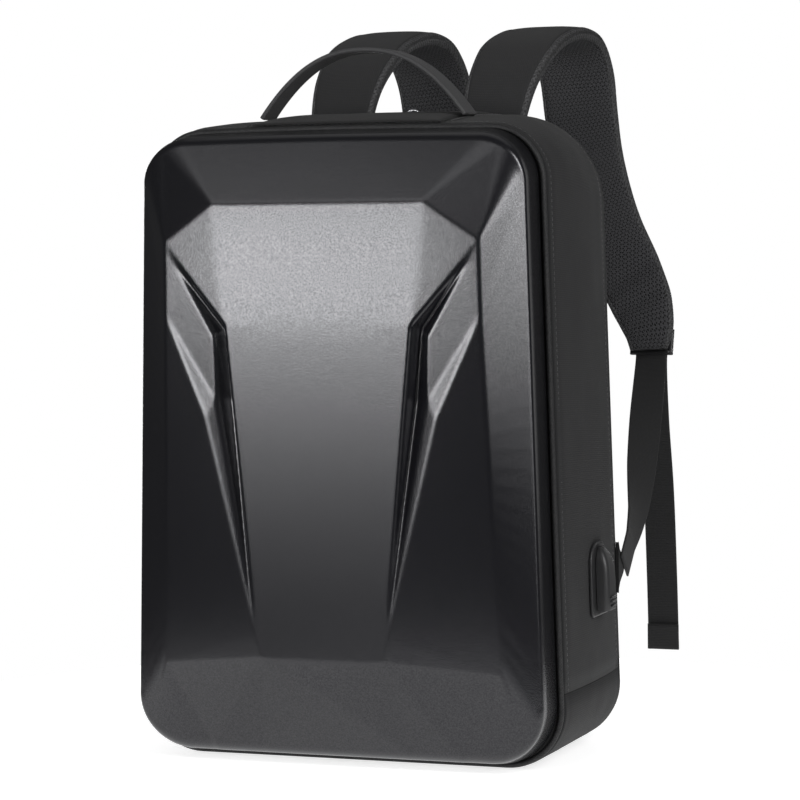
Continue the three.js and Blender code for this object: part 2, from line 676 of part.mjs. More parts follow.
// Path of the straps, from the root to the lower end. right and left are shares of the strap's width sideways
// from its root, away from the middle of the back; back is a share of STRAP_REACH, up a share of STRAP_RISE
// above the body's back edge, and wide and thick are shares of the strap's width and thickness.
const STRAP_PATH = [
  { right: 0, left: 0, back: 0.0, up: -0.85, wide: 0.76, thick: 0.8 },
  { right: 0, left: 0, back: 0.0, up: -0.4, wide: 0.76, thick: 0.9 },
  { right: 0, left: 0, back: 0.025, up: 0.0, wide: 0.8, thick: 1 },
  { right: 0.02, left: 0, back: 0.12, up: 0.44, wide: 0.9, thick: 1 },
  { right: 0.05, left: -0.02, back: 0.29, up: 0.8, wide: 1, thick: 1 },
  { right: 0.08, left: -0.05, back: 0.49, up: 1.0, wide: 1, thick: 1 },
  { right: 0.13, left: -0.1, back: 0.71, up: 1.08, wide: 1, thick: 1 },
  { right: 0.18, left: -0.16, back: 0.91, up: 0.96, wide: 1, thick: 1 },
  { right: 0.21, left: -0.23, back: 1.02, up: 0.6, wide: 1, thick: 1 },
  { right: 0.24, left: -0.27, back: 1.05, up: 0.12, wide: 0.98, thick: 1 },
  { right: 0.32, left: -0.26, back: 1.04, up: -0.42, wide: 0.96, thick: 1 },
  { right: 0.47, left: -0.11, back: 1.01, up: -0.92, wide: 0.93, thick: 1 },
  { right: 0.66, left: 0.15, back: 0.98, up: -1.38, wide: 0.9, thick: 1 },
  { right: 0.94, left: 0.48, back: 0.94, up: -1.88, wide: 0.87, thick: 1 },
  { right: 1.16, left: 0.76, back: 0.9, up: -2.3, wide: 0.8, thick: 0.95 },
  { right: 1.27, left: 0.94, back: 0.87, up: -2.62, wide: 0.66, thick: 0.85 },
  { right: 1.29, left: 0.98, back: 0.85, up: -2.86, wide: 0.5, thick: 0.75 },
];

function strapStations(side) {
  const sign = side === "right" ? 1 : -1;
  return STRAP_PATH.map((row) => ({
    at: v3(
      sign * (STRAP_ROOT_X + row[side] * STRAP_WIDTH),
      BACK_PLATE_REAR + 2 * SEAT_GAP + (row.thick * STRAP_THICKNESS) / 2 + row.back * STRAP_REACH,
      BACK_HEIGHT + row.up * STRAP_RISE,
    ),
    width: row.wide * STRAP_WIDTH,
    thick: row.thick * STRAP_THICKNESS,
    roll: 0,
    steps: 30,
  }));
}

// Slide lock: a flat frame with two slots behind the strap's lower end.
function slideLock(centre, tilt) {
  const shape = new THREE.Shape();
  const [w, h] = [LOCK_WIDTH / 2, LOCK_HEIGHT / 2];
  shape.moveTo(-w, -h).lineTo(w, -h).lineTo(w, h).lineTo(-w, h).closePath();
  const slotHeight = (LOCK_HEIGHT - 3 * LOCK_BAR) / 2;
  for (const side of [-1, 1]) {
    const middle = (side * (slotHeight + LOCK_BAR)) / 2;
    const slot = new THREE.Path();
    const [sw, sh] = [w - LOCK_BAR, slotHeight / 2];
    slot.moveTo(-sw, middle - sh).lineTo(-sw, middle + sh);
    slot.lineTo(sw, middle + sh).lineTo(sw, middle - sh).closePath();
    shape.holes.push(slot);
  }
  const plate = new THREE.ExtrudeGeometry(shape, { depth: LOCK_THICKNESS, bevelEnabled: false });
  plate.translate(0, 0, -LOCK_THICKNESS / 2).rotateX(Math.PI / 2 - tilt);
  return plate.translate(centre.x, centre.y, centre.z);
}

function makeStraps() {
  for (const side of ["right", "left"]) {
    const sign = side === "right" ? 1 : -1;
    const stations = strapStations(side);
    add(`shoulder_strap_${side}`, strip(stations), MATERIALS.strap);
    const end = stations[stations.length - 1].at;
    const before = stations[stations.length - 3].at;
    const tilt = Math.atan2(before.y - end.y, before.z - end.z);
    const clear = (STRAP_THICKNESS + LOCK_THICKNESS) / 2 + SEAT_GAP + LOCK_LIFT;
    const lock = v3(end.x, end.y + clear, end.z + LOCK_HEIGHT / 4);
    add(`slide_lock_${side}`, slideLock(lock, tilt), MATERIALS.plastic);
    const half = LOCK_HEIGHT / 2;
    makeWebbing(side, sign, v3(lock.x, lock.y - half * Math.sin(tilt), lock.z - half * Math.cos(tilt)));
  }
}

// The lower webbing from the lock to the side tab: shares of the way along and sideways, its turn from flat to
// edge-on in degrees, and its sag as a share of the webbing's width.
const LEG_PATH = [
  { along: 0, aside: 0, turn: 0, sag: 0 },
  { along: 0.25, aside: 0.35, turn: 14, sag: 0.12 },
  { along: 0.5, aside: 0.7, turn: 40, sag: 0.2 },
  { along: 0.75, aside: 0.98, turn: 74, sag: 0.12 },
  { along: 0.88, aside: 1, turn: 90, sag: 0.04 },
  { along: 1, aside: 1, turn: 90, sag: 0 },
];

// The free tail: sideways and backwards as shares of the webbing's width, and down as a share of its drop.
const TAIL_PATH = [
  { aside: 0, back: 0, down: 0 },
  { aside: 0, back: 0.16, down: 0.2 },
  { aside: 0.12, back: 0.24, down: 0.45 },
  { aside: 0.24, back: 0.12, down: 0.75 },
  { aside: 0.32, back: 0, down: 1 },
];

// Webbing: from the side tab up to the slide lock, and the free tail that hangs from the lock.
function makeWebbing(side, sign, lockFoot) {
  const legTop = v3(lockFoot.x, lockFoot.y - 1, lockFoot.z - WEBBING_DROP);
  const outside = anchorInside() + ANCHOR_THICKNESS + SEAT_GAP + WEBBING_THICKNESS / 2;
  const anchor = v3(sign * outside, BACK + ANCHOR_REACH - 4, ANCHOR_HEIGHT);
  const leg = LEG_PATH.map(({ along, aside, turn, sag }) => ({
    at: v3(
      lerp(legTop.x, anchor.x, aside),
      lerp(legTop.y, anchor.y, along) - sag * WEBBING_WIDTH,
      lerp(legTop.z, anchor.z, along) - sag * WEBBING_WIDTH,
    ),
    width: WEBBING_WIDTH,
    thick: WEBBING_THICKNESS,
    roll: -sign * turn,
    steps: 18,
  }));
  add(`lower_webbing_${side}`, strip(leg), MATERIALS.webbing);
  const drop = legTop.z - TAIL_END_HEIGHT;
  const tail = TAIL_PATH.map(({ aside, back, down }) => ({
    at: v3(
      legTop.x + sign * aside * WEBBING_WIDTH,
      lockFoot.y + WEBBING_THICKNESS + back * WEBBING_WIDTH,
      legTop.z - down * drop,
    ),
    width: WEBBING_WIDTH,
    thick: WEBBING_THICKNESS,
    roll: 0,
    steps: 14,
  }));
  add(`webbing_tail_${side}`, strip(tail), MATERIALS.webbing);
  const hemAt = tail[tail.length - 1].at.clone();
  const hemY = hemAt.y - WEBBING_THICKNESS / 2 - SEAT_GAP - WEBBING_THICKNESS / 2;
  const hem = boxAt(WEBBING_WIDTH + 1, WEBBING_THICKNESS, HEM_LENGTH, hemAt.x, hemY, hemAt.z + HEM_LENGTH / 2);
  add(`tail_hem_${side}`, hem, MATERIALS.webbing);
  add(`webbing_anchor_${side}`, anchorTab(sign), MATERIALS.fabric);
}

// Side tab: a triangular flap of fabric that the webbing is sewn to, on the body's back edge.
function anchorTab(sign) {
  const shape = new THREE.Shape();
  const half = ANCHOR_LENGTH / 2;
  const tip = WEBBING_WIDTH / 3;
  shape.moveTo(0, -half).lineTo(ANCHOR_REACH, -tip * 0.4).lineTo(ANCHOR_REACH, tip).lineTo(0, half).closePath();
  const flap = new THREE.ExtrudeGeometry(shape, { depth: ANCHOR_THICKNESS, bevelEnabled: false });
  const basis = new THREE.Matrix4().makeBasis(v3(0, 1, 0), v3(0, 0, 1), v3(1, 0, 0));
  flap.applyMatrix4(basis);
  const middle = sign * (anchorInside() + ANCHOR_THICKNESS / 2);
  return flap.translate(middle - ANCHOR_THICKNESS / 2, BACK_PLATE_FRONT, ANCHOR_HEIGHT);
}

// The side tabs' inner face: just outside the back plate at the tabs' lower end.
function anchorInside() {
  return sideWidth(BACK, ANCHOR_HEIGHT - ANCHOR_LENGTH / 2, BACK_PLATE_INSET) + SEAT_GAP;
}

// Half width of the body at a depth and height, moved inwards by inset.
function sideWidth(y, z, inset = 0) {
  const loop = bodyOutline(y, inset).slice(OUTLINE.side, OUTLINE.upperCorner + 1);
  for (let i = 0; i < loop.length - 1; i++) {
    const [x0, z0] = loop[i];
    const [x1, z1] = loop[i + 1];
    if (z <= z1) return lerp(x0, x1, (z - z0) / (z1 - z0));
  }
  return loop[loop.length - 1][0];
}

// Charging port: a flange on the side wall, a hood with a rounded top, and a ribbed cover under it.
function makePort() {
  const sideAt = (z) => sideWidth(PORT_Y, z);
  const lean = Math.atan2(sideAt(PORT_HEIGHT - 20) - sideAt(PORT_HEIGHT + 20), 40);
  const port = new THREE.Group();
  port.position.set(sideAt(PORT_HEIGHT) + SEAT_GAP + 0.3, PORT_Y, PORT_HEIGHT);
  port.rotation.y = -lean;
  const side = new THREE.Matrix4().makeBasis(v3(0, 1, 0), v3(0, 0, 1), v3(1, 0, 0));
  const rounded = (width, height, topRadius, lowRadius) => {
    const [w, h] = [width / 2, height / 2];
    const shape = new THREE.Shape();
    shape.moveTo(-w + lowRadius, -h).lineTo(w - lowRadius, -h);
    shape.absarc(w - lowRadius, -h + lowRadius, lowRadius, -Math.PI / 2, 0, false);
    shape.absarc(w - topRadius, h - topRadius, topRadius, 0, Math.PI / 2, false);
    shape.absarc(-w + topRadius, h - topRadius, topRadius, Math.PI / 2, Math.PI, false);
    shape.absarc(-w + lowRadius, -h + lowRadius, lowRadius, Math.PI, 1.5 * Math.PI, false);
    return shape;
  };
  const solid = (shape, depth) =>
    new THREE.ExtrudeGeometry(shape, { depth, bevelEnabled: false, curveSegments: 6 }).applyMatrix4(side);
  const flange = new THREE.Mesh(
    solid(rounded(PORT_FLANGE_WIDTH, PORT_FLANGE_HEIGHT, PORT_FLANGE_WIDTH * 0.42, 4), PORT_FLANGE_THICKNESS),
    MATERIALS.rubber,
  );
  flange.name = "port_flange";
  port.add(flange);
  const hood = new THREE.Mesh(hoodGeometry(), MATERIALS.rubber);
  hood.name = "port_hood";
  hood.position.x = PORT_FLANGE_THICKNESS + SEAT_GAP;
  port.add(hood);
  for (let i = 0; i < RIB_COUNT; i++) {
    const z = -HOOD_HEIGHT / 2 + 3 + i * RIB_PITCH;
    const rib = new THREE.Mesh(
      boxAt(RIB_SIZE, HOOD_WIDTH * 0.62, RIB_SIZE, 0, 0, z),
      MATERIALS.rubber,
    );
    rib.name = `port_rib_${i + 1}`;
    rib.position.x = PORT_FLANGE_THICKNESS + 2 * SEAT_GAP + HOOD_PROUD + RIB_SIZE / 2;
    port.add(rib);
  }
  group.add(port);
}

// The hood in the port's own frame: +X out of the side, Y across, Z up. Its top slopes back into the side.
function hoodGeometry() {
  const rows = [];
  const table = [
    { up: -0.5, proud: 1, wide: 1 },
    { up: 0.0, proud: 1, wide: 1 },
    { up: 0.18, proud: 0.97, wide: 0.97 },
    { up: 0.32, proud: 0.82, wide: 0.86 },
    { up: 0.42, proud: 0.56, wide: 0.66 },
    { up: 0.5, proud: 0.2, wide: 0.36 },
  ];
  for (const { up, proud, wide } of table) {
    const w = (HOOD_WIDTH / 2) * wide;
    const d = HOOD_PROUD * proud;
    const r = Math.min(3, d * 0.5, w * 0.5);
    const z = up * HOOD_HEIGHT;
    const profile = [
      [0, -w],
      [d - r, -w],
      [d - r * 0.3, -w + r * 0.3],
      [d, -w + r],
      [d, w - r],
      [d - r * 0.3, w - r * 0.3],
      [d - r, w],
      [0, w],
    ];
    rows.push(profile.map(([x, y]) => v3(x, y, z)));
  }
  return loft(rows);
}

// Zip slider with its arched bridge, on the top near the back edge.
function makeSlider() {
  const y = BACK - SLIDER_SETBACK;
  const z = topHeight(SLIDER_X, y) + SEAT_GAP;
  const plate = toSolid(boxAt(SLIDER_WIDTH, SLIDER_LENGTH, SLIDER_THICKNESS, SLIDER_X, y, z + SLIDER_THICKNESS / 2));
  const arch = [];
  const turns = 10;
  for (let i = 0; i <= turns; i++) {
    const turn = Math.PI * (i / turns);
    arch.push(v3(SLIDER_X + BRIDGE_RADIUS * Math.cos(turn) * 0.8, y, z + SLIDER_THICKNESS * 0.7 + BRIDGE_RADIUS * Math.sin(turn)));
  }
  const wire = new THREE.Shape();
  wire.absarc(0, 0, BRIDGE_WIRE / 2, 0, 2 * Math.PI, false);
  const path = new THREE.CatmullRomCurve3(arch);
  const bridge = new THREE.ExtrudeGeometry(wire, { steps: 12, curveSegments: 3, extrudePath: path });
  add("zip_slider", toGeometry(plate.add(toSolid(bridge))), MATERIALS.metal);
}

makeBody();
makePipingAndZip();
makeShell();
makeBack();
makeTopPanel();
makeHandle();
makeStraps();
makePort();
makeSlider();

export default group;
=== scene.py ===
import math

import bmesh
import bpy
import numpy as np
from mathutils import Matrix, Vector, noise
from mathutils.geometry import tessellate_polygon


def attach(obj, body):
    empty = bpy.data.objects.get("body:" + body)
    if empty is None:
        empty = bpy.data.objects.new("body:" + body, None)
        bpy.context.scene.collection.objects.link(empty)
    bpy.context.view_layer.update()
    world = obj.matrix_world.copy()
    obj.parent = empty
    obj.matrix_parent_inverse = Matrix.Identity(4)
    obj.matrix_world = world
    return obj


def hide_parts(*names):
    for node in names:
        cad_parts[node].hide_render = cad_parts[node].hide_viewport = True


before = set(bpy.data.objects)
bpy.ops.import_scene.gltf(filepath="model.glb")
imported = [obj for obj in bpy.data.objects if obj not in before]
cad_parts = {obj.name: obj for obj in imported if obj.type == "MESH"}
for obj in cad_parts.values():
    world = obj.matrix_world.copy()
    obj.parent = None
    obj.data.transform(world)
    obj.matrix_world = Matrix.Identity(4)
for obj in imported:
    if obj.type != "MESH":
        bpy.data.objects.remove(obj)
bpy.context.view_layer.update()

# Everything is in metres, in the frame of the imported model: +Z up, -Y out of the shell, +X the port's side

MM = 0.001
RIGHT = Vector((1, 0, 0))
REARWARD = Vector((0, 1, 0))
UP = Vector((0, 0, 1))

# Body
BODY_DEPTH = 134 * MM
BODY_HALF_TOP = 152 * MM
BODY_HALF_BOTTOM = 161.5 * MM
BODY_HEIGHT = 456.5 * MM
BODY_BACK_RISE = 8 * MM
TOP_CROWN = 2 * MM
TOP_RADIUS_FRONT = 41 * MM
TOP_RADIUS_BACK = 66 * MM
BOTTOM_RADIUS = 43 * MM
SIDE_BULGE = 2.5 * MM
WALL_THICKNESS = 4.5 * MM
BASE_SEAM_HEIGHT = 54 * MM
FRONT = -BODY_DEPTH / 2
BACK = BODY_DEPTH / 2

# Shell
SHELL_INSET = 4 * MM
SHELL_RELIEF = 60 * MM
SHELL_RIM_SETBACK = 8 * MM
SHELL_SIDE_WALL = 15.5 * MM
SHELL_EDGE_RADIUS = 12.5 * MM
SHELL_SIDE_RADIUS = 3.6 * MM
SHELL_EDGE_TURN = math.radians(55)
SHELL_DRAFT = 2.5 * MM
SHELL_WALL = 3.2 * MM
SHELL_RIM_WALL = 2.6 * MM
SHELL_HEM = 3.4 * MM

# Zip, piping and back
ZIP_INSET = 7.5 * MM
PIPING_RADIUS = 2.1 * MM
PLATE_THICKNESS = 6 * MM
PLATE_INSET = 1 * MM
PLATE_FRONT = BACK + 0.3 * MM
PLATE_REAR = PLATE_FRONT + PLATE_THICKNESS
PAD_CROWN = 13 * MM
PAD_HALF_WIDTH = 118 * MM
PAD_LOW = 70 * MM
PAD_HIGH = 398 * MM
PAD_CORNER = 34 * MM
PAD_SEAMS = (178 * MM, 288 * MM)
PAD_PRESSURE = 4.0
PAD_SWELL = 6 * MM

# Top and handle
TOP_PANEL_HALF = 73 * MM
TOP_PANEL_DEPTH = 112 * MM
HANDLE_HALF_SPAN = 79 * MM
HANDLE_RISE = 48 * MM
HANDLE_WIDTH = 25 * MM
HANDLE_THICKNESS = 3.4 * MM
HANDLE_Y = FRONT + 46 * MM
HANDLE_FULLNESS = 2.3

# Straps
STRAP_THICKNESS = 13 * MM
STRAP_WIDTH = 62 * MM
STRAP_REACH = 168 * MM
STRAP_RISE = 63 * MM
STRAP_ROOT_X = 62 * MM
WEBBING_WIDTH = 25 * MM
WEBBING_THICKNESS = 1.6 * MM

# Port
PORT_Y = FRONT + 77 * MM
PORT_HEIGHT = 128 * MM
FLANGE_WIDTH = 40 * MM
FLANGE_HEIGHT = 54 * MM
HOOD_WIDTH = 21 * MM
HOOD_HEIGHT = 46 * MM
HOOD_PROUD = 9 * MM

CORNER_STEPS = 16
SIDE_STEPS = 24
TOP_STEPS = 24
BOTTOM_STEPS = 24


def lerp(a, b, t):
    return a + (b - a) * t


def marks_of(points):
    """The distance along a path at each of its points."""
    marks = [0.0]
    for a, b in zip(points, points[1:]):
        marks.append(marks[-1] + (b - a).length)
    return marks


def stations(points, pitch):
    """Marks at an even pitch along a path: the number of the stretch, and the share of the way along it."""
    marks = marks_of(points)
    count = int(marks[-1] / pitch)
    at = 0
    for n in range(count):
        mark = (n + 0.5) * marks[-1] / count
        while marks[at + 1] < mark:
            at += 1
        yield at, (mark - marks[at]) / max(1e-9, marks[at + 1] - marks[at])


def oval(centre, across, out, a, b, sides, power=1.0):
    """Points round a centre, reaching a across and b out; a power below one squares the oval."""
    points = []
    for n in range(sides):
        turn = 2 * math.pi * n / sides
        c, s = math.cos(turn), math.sin(turn)
        c, s = math.copysign(abs(c) ** power, c), math.copysign(abs(s) ** power, s)
        points.append(centre + across * (a * c) + out * (b * s))
    return points


# Meshes


def add(name, data):
    piece = bpy.data.objects.new(name, data)
    bpy.context.collection.objects.link(piece)
    return piece


def shade(mesh, smooth=True):
    for polygon in mesh.polygons:
        polygon.use_smooth = smooth


def make(name, verts, faces, smooth=True, uvs=None):
    """A closed piece with its faces turned outward."""
    mesh = bpy.data.meshes.new(name)
    mesh.from_pydata([tuple(v) for v in verts], [], [tuple(f) for f in faces])
    mesh.validate()
    if uvs is not None:
        layer = mesh.uv_layers.new(name="weave")
        for loop in mesh.loops:
            layer.data[loop.index].uv = uvs[loop.vertex_index]
    bm = bmesh.new()
    bm.from_mesh(mesh)
    bmesh.ops.recalc_face_normals(bm, faces=bm.faces)
    if bm.calc_volume(signed=True) < 0:
        bmesh.ops.reverse_faces(bm, faces=bm.faces)
    bm.to_mesh(mesh)
    bm.free()
    shade(mesh, smooth)
    return add(name, mesh)


def skin(rows, verts, faces, ring=False):
    """Adds a surface through closed rows of points, capped unless the rows close into a ring."""
    base, count = len(verts), len(rows[0])
    verts += [p for row in rows for p in row]
    for i in range(len(rows) if ring else len(rows) - 1):
        a, b = base + i * count, base + (i + 1) % len(rows) * count
        for j in range(count):
            k = (j + 1) % count
            faces.append((a + j, b + j, b + k, a + k))
    if not ring:
        faces.append(tuple(range(base, base + count)))
        faces.append(tuple(reversed(range(len(verts) - count, len(verts)))))


def loft(name, rows, ring=False):
    """A piece with a surface through closed rows of points; its UVs are in metres, across and along."""
    verts, faces = [], []
    skin(rows, verts, faces, ring)
    uvs = []
    for row, along in zip(rows, marks_of([row[0] for row in rows])):
        uvs += [(around, along) for around in marks_of(row)]
    return make(name, verts, faces, uvs=uvs)


def sharpen(piece, angle):
    piece.data.set_sharp_from_angle(angle=math.radians(angle))


def inflate(piece, pressure, cap, hold, frames=20):
    """Swells a pad as stuffed fabric does, by a cloth simulation. hold says how firmly a point is sewn down,
    and no point moves further than the cap."""
    rest = [v.co.copy() for v in piece.data.vertices]
    sewn = piece.vertex_groups.new(name="sewn")
    for i, spot in enumerate(rest):
        sewn.add([i], hold(spot), "REPLACE")
    cloth = piece.modifiers.new("cloth", "CLOTH")
    cloth.settings.vertex_group_mass = "sewn"
    cloth.settings.use_pressure = True
    cloth.settings.uniform_pressure_force = pressure
    cloth.settings.effector_weights.gravity = 0
    cloth.collision_settings.use_collision = False
    cloth.point_cache.frame_start = 1
    cloth.point_cache.frame_end = frames
    for frame_number in range(1, frames + 1):
        bpy.context.scene.frame_set(frame_number)
    graph = bpy.context.evaluated_depsgraph_get()
    swollen = bpy.data.meshes.new_from_object(piece.evaluated_get(graph))
    piece.modifiers.clear()
    piece.vertex_groups.clear()
    piece.data = swollen
    for v, spot in zip(swollen.vertices, rest):
        move = v.co - spot
        if move.length > cap:
            v.co = spot + move * (cap / move.length)
    bpy.context.scene.frame_set(1)


def place(piece, material, slot, *nodes):
    piece.data.materials.clear()
    piece.data.materials.append(material)
    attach(piece, "root")
    if nodes:
        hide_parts(*nodes)


def join(name, pieces):
    """One piece from several."""
    bm = bmesh.new()
    for piece in pieces:
        bm.from_mesh(piece.data)
        bpy.data.objects.remove(piece, do_unlink=True)
    mesh = bpy.data.meshes.new(name)
    bm.to_mesh(mesh)
    bm.free()
    shade(mesh)
    return add(name, mesh)


# Materials


class Shader:
    """A Principled material with helpers for its procedural colour, roughness and bump."""

    def __init__(self, name, color, roughness, metallic=0.0, specular=0.5, sheen=0.0):
        self.material = bpy.data.materials.new(name)
        self.material.use_nodes = True
        self.tree = self.material.node_tree
        self.shader = self.tree.nodes["Principled BSDF"]
        self.color = color
        self.bumped = {}
        self.put(self.shader, {
            "Base Color": (*color, 1), "Roughness": roughness, "Metallic": metallic,
            "Specular IOR Level": specular, "Sheen Weight": sheen, "Sheen Roughness": 0.6,
        })

    def put(self, node, sockets):
        """Gives each named socket its number or colour, or links it to an output."""
        for name, value in sockets.items():
            if isinstance(value, bpy.types.NodeSocket):
                self.tree.links.new(value, node.inputs[name])
            else:
                node.inputs[name].default_value = value

    def node(self, kind, sockets, **settings):
        made = self.tree.nodes.new(kind)
        for key, value in settings.items():
            setattr(made, key, value)
        self.put(made, sockets)
        return made

    def spot(self):
        return self.node("ShaderNodeTexCoord", {}).outputs["Object"]

    def noise(self, scale, detail=3.0, rough=0.5):
        sockets = {"Scale": scale, "Detail": detail, "Roughness": rough, "Vector": self.spot()}
        return self.node("ShaderNodeTexNoise", sockets).outputs["Fac"]

    def wave(self, pitch, direction="X", turn=0.0, uv=True):
        """Even bands, over UVs in metres or through the piece."""
        at = self.node("ShaderNodeUVMap", {}, uv_map="weave").outputs["UV"] if uv else self.spot()
        if turn:
            spin = {"Vector": at, "Rotation": (0, 0, math.radians(turn))}
            at = self.node("ShaderNodeMapping", spin).outputs["Vector"]
        sockets = {"Scale": 1 / pitch / 3.0, "Distortion": 0.0, "Detail": 0.0, "Vector": at}
        made = self.node("ShaderNodeTexWave", sockets, bands_direction=direction, wave_profile="SIN")
        return made.outputs["Fac"]

    def math(self, operation, a, b):
        return self.node("ShaderNodeMath", {0: a, 1: b}, operation=operation).outputs[0]

    def blend(self, a, share_a, b, share_b):
        return self.math("ADD", self.math("MULTIPLY", a, share_a), self.math("MULTIPLY", b, share_b))

    def remap(self, value, low, high, new_low=0.0, new_high=1.0):
        sockets = {"Value": value, "From Min": low, "From Max": high, "To Min": new_low, "To Max": new_high}
        return self.node("ShaderNodeMapRange", sockets).outputs["Result"]

    def mix(self, factor, low, high, socket):
        """A colour from low to high in a socket of the shader."""
        made = self.node("ShaderNodeMix", {"Factor": factor, "A": low, "B": high}, data_type="RGBA")
        self.put(self.shader, {socket: made.outputs["Result"]})

    def tint(self, factor, low, high):
        """Colour from low to high multiples of the base colour."""
        ends = [(*[c * share for c in self.color], 1) for share in (low, high)]
        self.mix(factor, *ends, "Base Color")

    def rough(self, factor, low, high):
        self.put(self.shader, {"Roughness": self.remap(factor, 0, 1, low, high)})

    def bump(self, height, distance, strength):
        sockets = {"Strength": strength, "Distance": distance, "Height": height, **self.bumped}
        self.bumped = {"Normal": self.node("ShaderNodeBump", sockets).outputs["Normal"]}
        self.put(self.shader, self.bumped)


def shell_material():
    """Satin plastic whose fine grain shows in its gloss."""
    s = Shader("shell_satin", (0.0042, 0.0042, 0.0056), 0.24, specular=0.76)
    grain = s.noise(1150, 2.5, 0.65)
    s.tint(s.remap(grain, 0.35, 0.65), 0.86, 1.14)
    s.rough(s.blend(grain, 0.7, s.noise(9, 2.0), 0.3), 0.2, 0.28)
    s.bump(grain, 0.0001, 0.75)
    s.mix(s.remap(s.noise(900, 1.0), 0.3, 0.7), (0.68, 0.68, 0.71, 1), (0.98, 0.98, 1.0, 1), "Specular Tint")
    return s.material


def woven(name, color, pitch, roughness=0.86, specular=0.2):
    """Plain weave of the given pitch, with slubs and a soft mottling."""
    s = Shader(name, color, roughness, specular=specular, sheen=0.05)
    cloth = s.math("MULTIPLY", s.wave(pitch * 2), s.wave(pitch * 2, "Y"))
    slub = s.noise(260, 4.0, 0.6)
    s.tint(s.blend(s.blend(cloth, 0.45, slub, 0.55), 0.8, s.noise(14), 0.2), 0.55, 1.5)
    s.rough(slub, roughness - 0.1, roughness + 0.08)
    s.bump(cloth, 0.00016, 0.8)
    s.bump(slub, 0.000112, 0.5)
    return s.material


def twill(name, color, pitch, roughness, depth):
    """Diagonal rib with a slight gloss and stray specks."""
    s = Shader(name, color, roughness, specular=0.3)
    both = s.math("MAXIMUM", s.wave(pitch, turn=45), s.math("MULTIPLY", s.wave(pitch, turn=-45), 0.75))
    specks = s.remap(s.noise(620, 2.0, 0.6), 0.38, 0.62)
    s.tint(s.blend(both, 0.45, specks, 0.55), 0.2, 2.3)
    s.rough(s.noise(120), roughness - 0.12, roughness + 0.1)
    s.bump(both, depth, 0.9)
    return s.material


def air_mesh_material():
    """Spacer mesh: staggered round holes in a knitted face."""
    s = Shader("air_mesh", (0.016, 0.016, 0.017), 0.8, specular=0.25, sheen=0.05)
    one, two, three = [s.wave(0.0031, turn=turn) for turn in (30, -30, 90)]
    holes = s.math("MULTIPLY", s.math("MULTIPLY", one, two), three)
    knit = s.math("SUBTRACT", 1.0, s.remap(holes, 0.05, 0.35))
    fibre = s.noise(900)
    s.tint(s.blend(knit, 0.85, fibre, 0.15), 0.07, 3.1)
    s.rough(fibre, 0.7, 0.92)
    s.bump(knit, 0.0009, 0.9)
    s.bump(fibre, 0.00008, 0.5)
    return s.material


def webbing_material():
    """Fine ribs across the width, with the yarn along it."""
    s = Shader("webbing", (0.0145, 0.0145, 0.015), 0.75, specular=0.25, sheen=0.06)
    both = s.blend(s.wave(0.0014, "Y"), 0.65, s.wave(0.0011), 0.35)
    fibre = s.noise(500, 4.0)
    s.tint(s.blend(both, 0.6, fibre, 0.4), 0.55, 1.5)
    s.rough(fibre, 0.62, 0.86)
    s.bump(both, 0.00022, 0.8)
    return s.material


def moulded(name, color, roughness):
    """Moulded rubber or plastic with a fine grain and slight wear."""
    s = Shader(name, color, roughness)
    fine = s.noise(900, 3.0, 0.6)
    wear = s.noise(40, 4.0)
    s.tint(wear, 0.8, 1.3)
    s.rough(s.blend(fine, 0.6, wear, 0.4), roughness - 0.08, roughness + 0.1)
    s.bump(fine, 0.00004, 0.6)
    return s.material


def metal_material():
    s = Shader("slider_metal", (0.75, 0.75, 0.77), 0.18, metallic=1.0)
    scuffs = s.noise(300, 5.0, 0.7)
    s.tint(scuffs, 0.85, 1.05)
    s.rough(scuffs, 0.12, 0.3)
    s.bump(scuffs, 0.00002, 0.4)
    return s.material


def thread_material():
    s = Shader("thread", (0.02, 0.02, 0.021), 0.6, sheen=0.3)
    ply = s.wave(0.0006, "DIAGONAL", uv=False)
    s.tint(ply, 0.6, 1.6)
    s.rough(ply, 0.5, 0.7)
    s.bump(ply, 0.00008, 0.7)
    return s.material


SHELL = shell_material()
BODY_CLOTH = woven("body_cloth", (0.0145, 0.0145, 0.0152), 0.0008)
TRIM_CLOTH = woven("trim_cloth", (0.0085, 0.0085, 0.009), 0.0007, 0.66, 0.25)
STRAP_CLOTH = woven("strap_cloth", (0.019, 0.019, 0.0197), 0.0008, 0.8)
HANDLE_CLOTH = woven("handle_cloth", (0.034, 0.034, 0.0355), 0.0007, 0.62, 0.45)
BINDING = twill("binding_tape", (0.034, 0.034, 0.035), 0.003, 0.65, 0.0005)
PIPING = twill("piping_twill", (0.012, 0.012, 0.0125), 0.0016, 0.55, 0.0002)
AIR_MESH = air_mesh_material()
WEBBING = webbing_material()
ZIP_TAPE = woven("zip_tape", (0.01, 0.01, 0.01), 0.0006)
ZIP_COIL = moulded("zip_coil", (0.012, 0.012, 0.013), 0.35)
RUBBER = moulded("port_rubber", (0.02, 0.02, 0.021), 0.42)
PLASTIC = moulded("lock_plastic", (0.014, 0.014, 0.015), 0.4)
METAL = metal_material()
THREAD = thread_material()


# Outlines


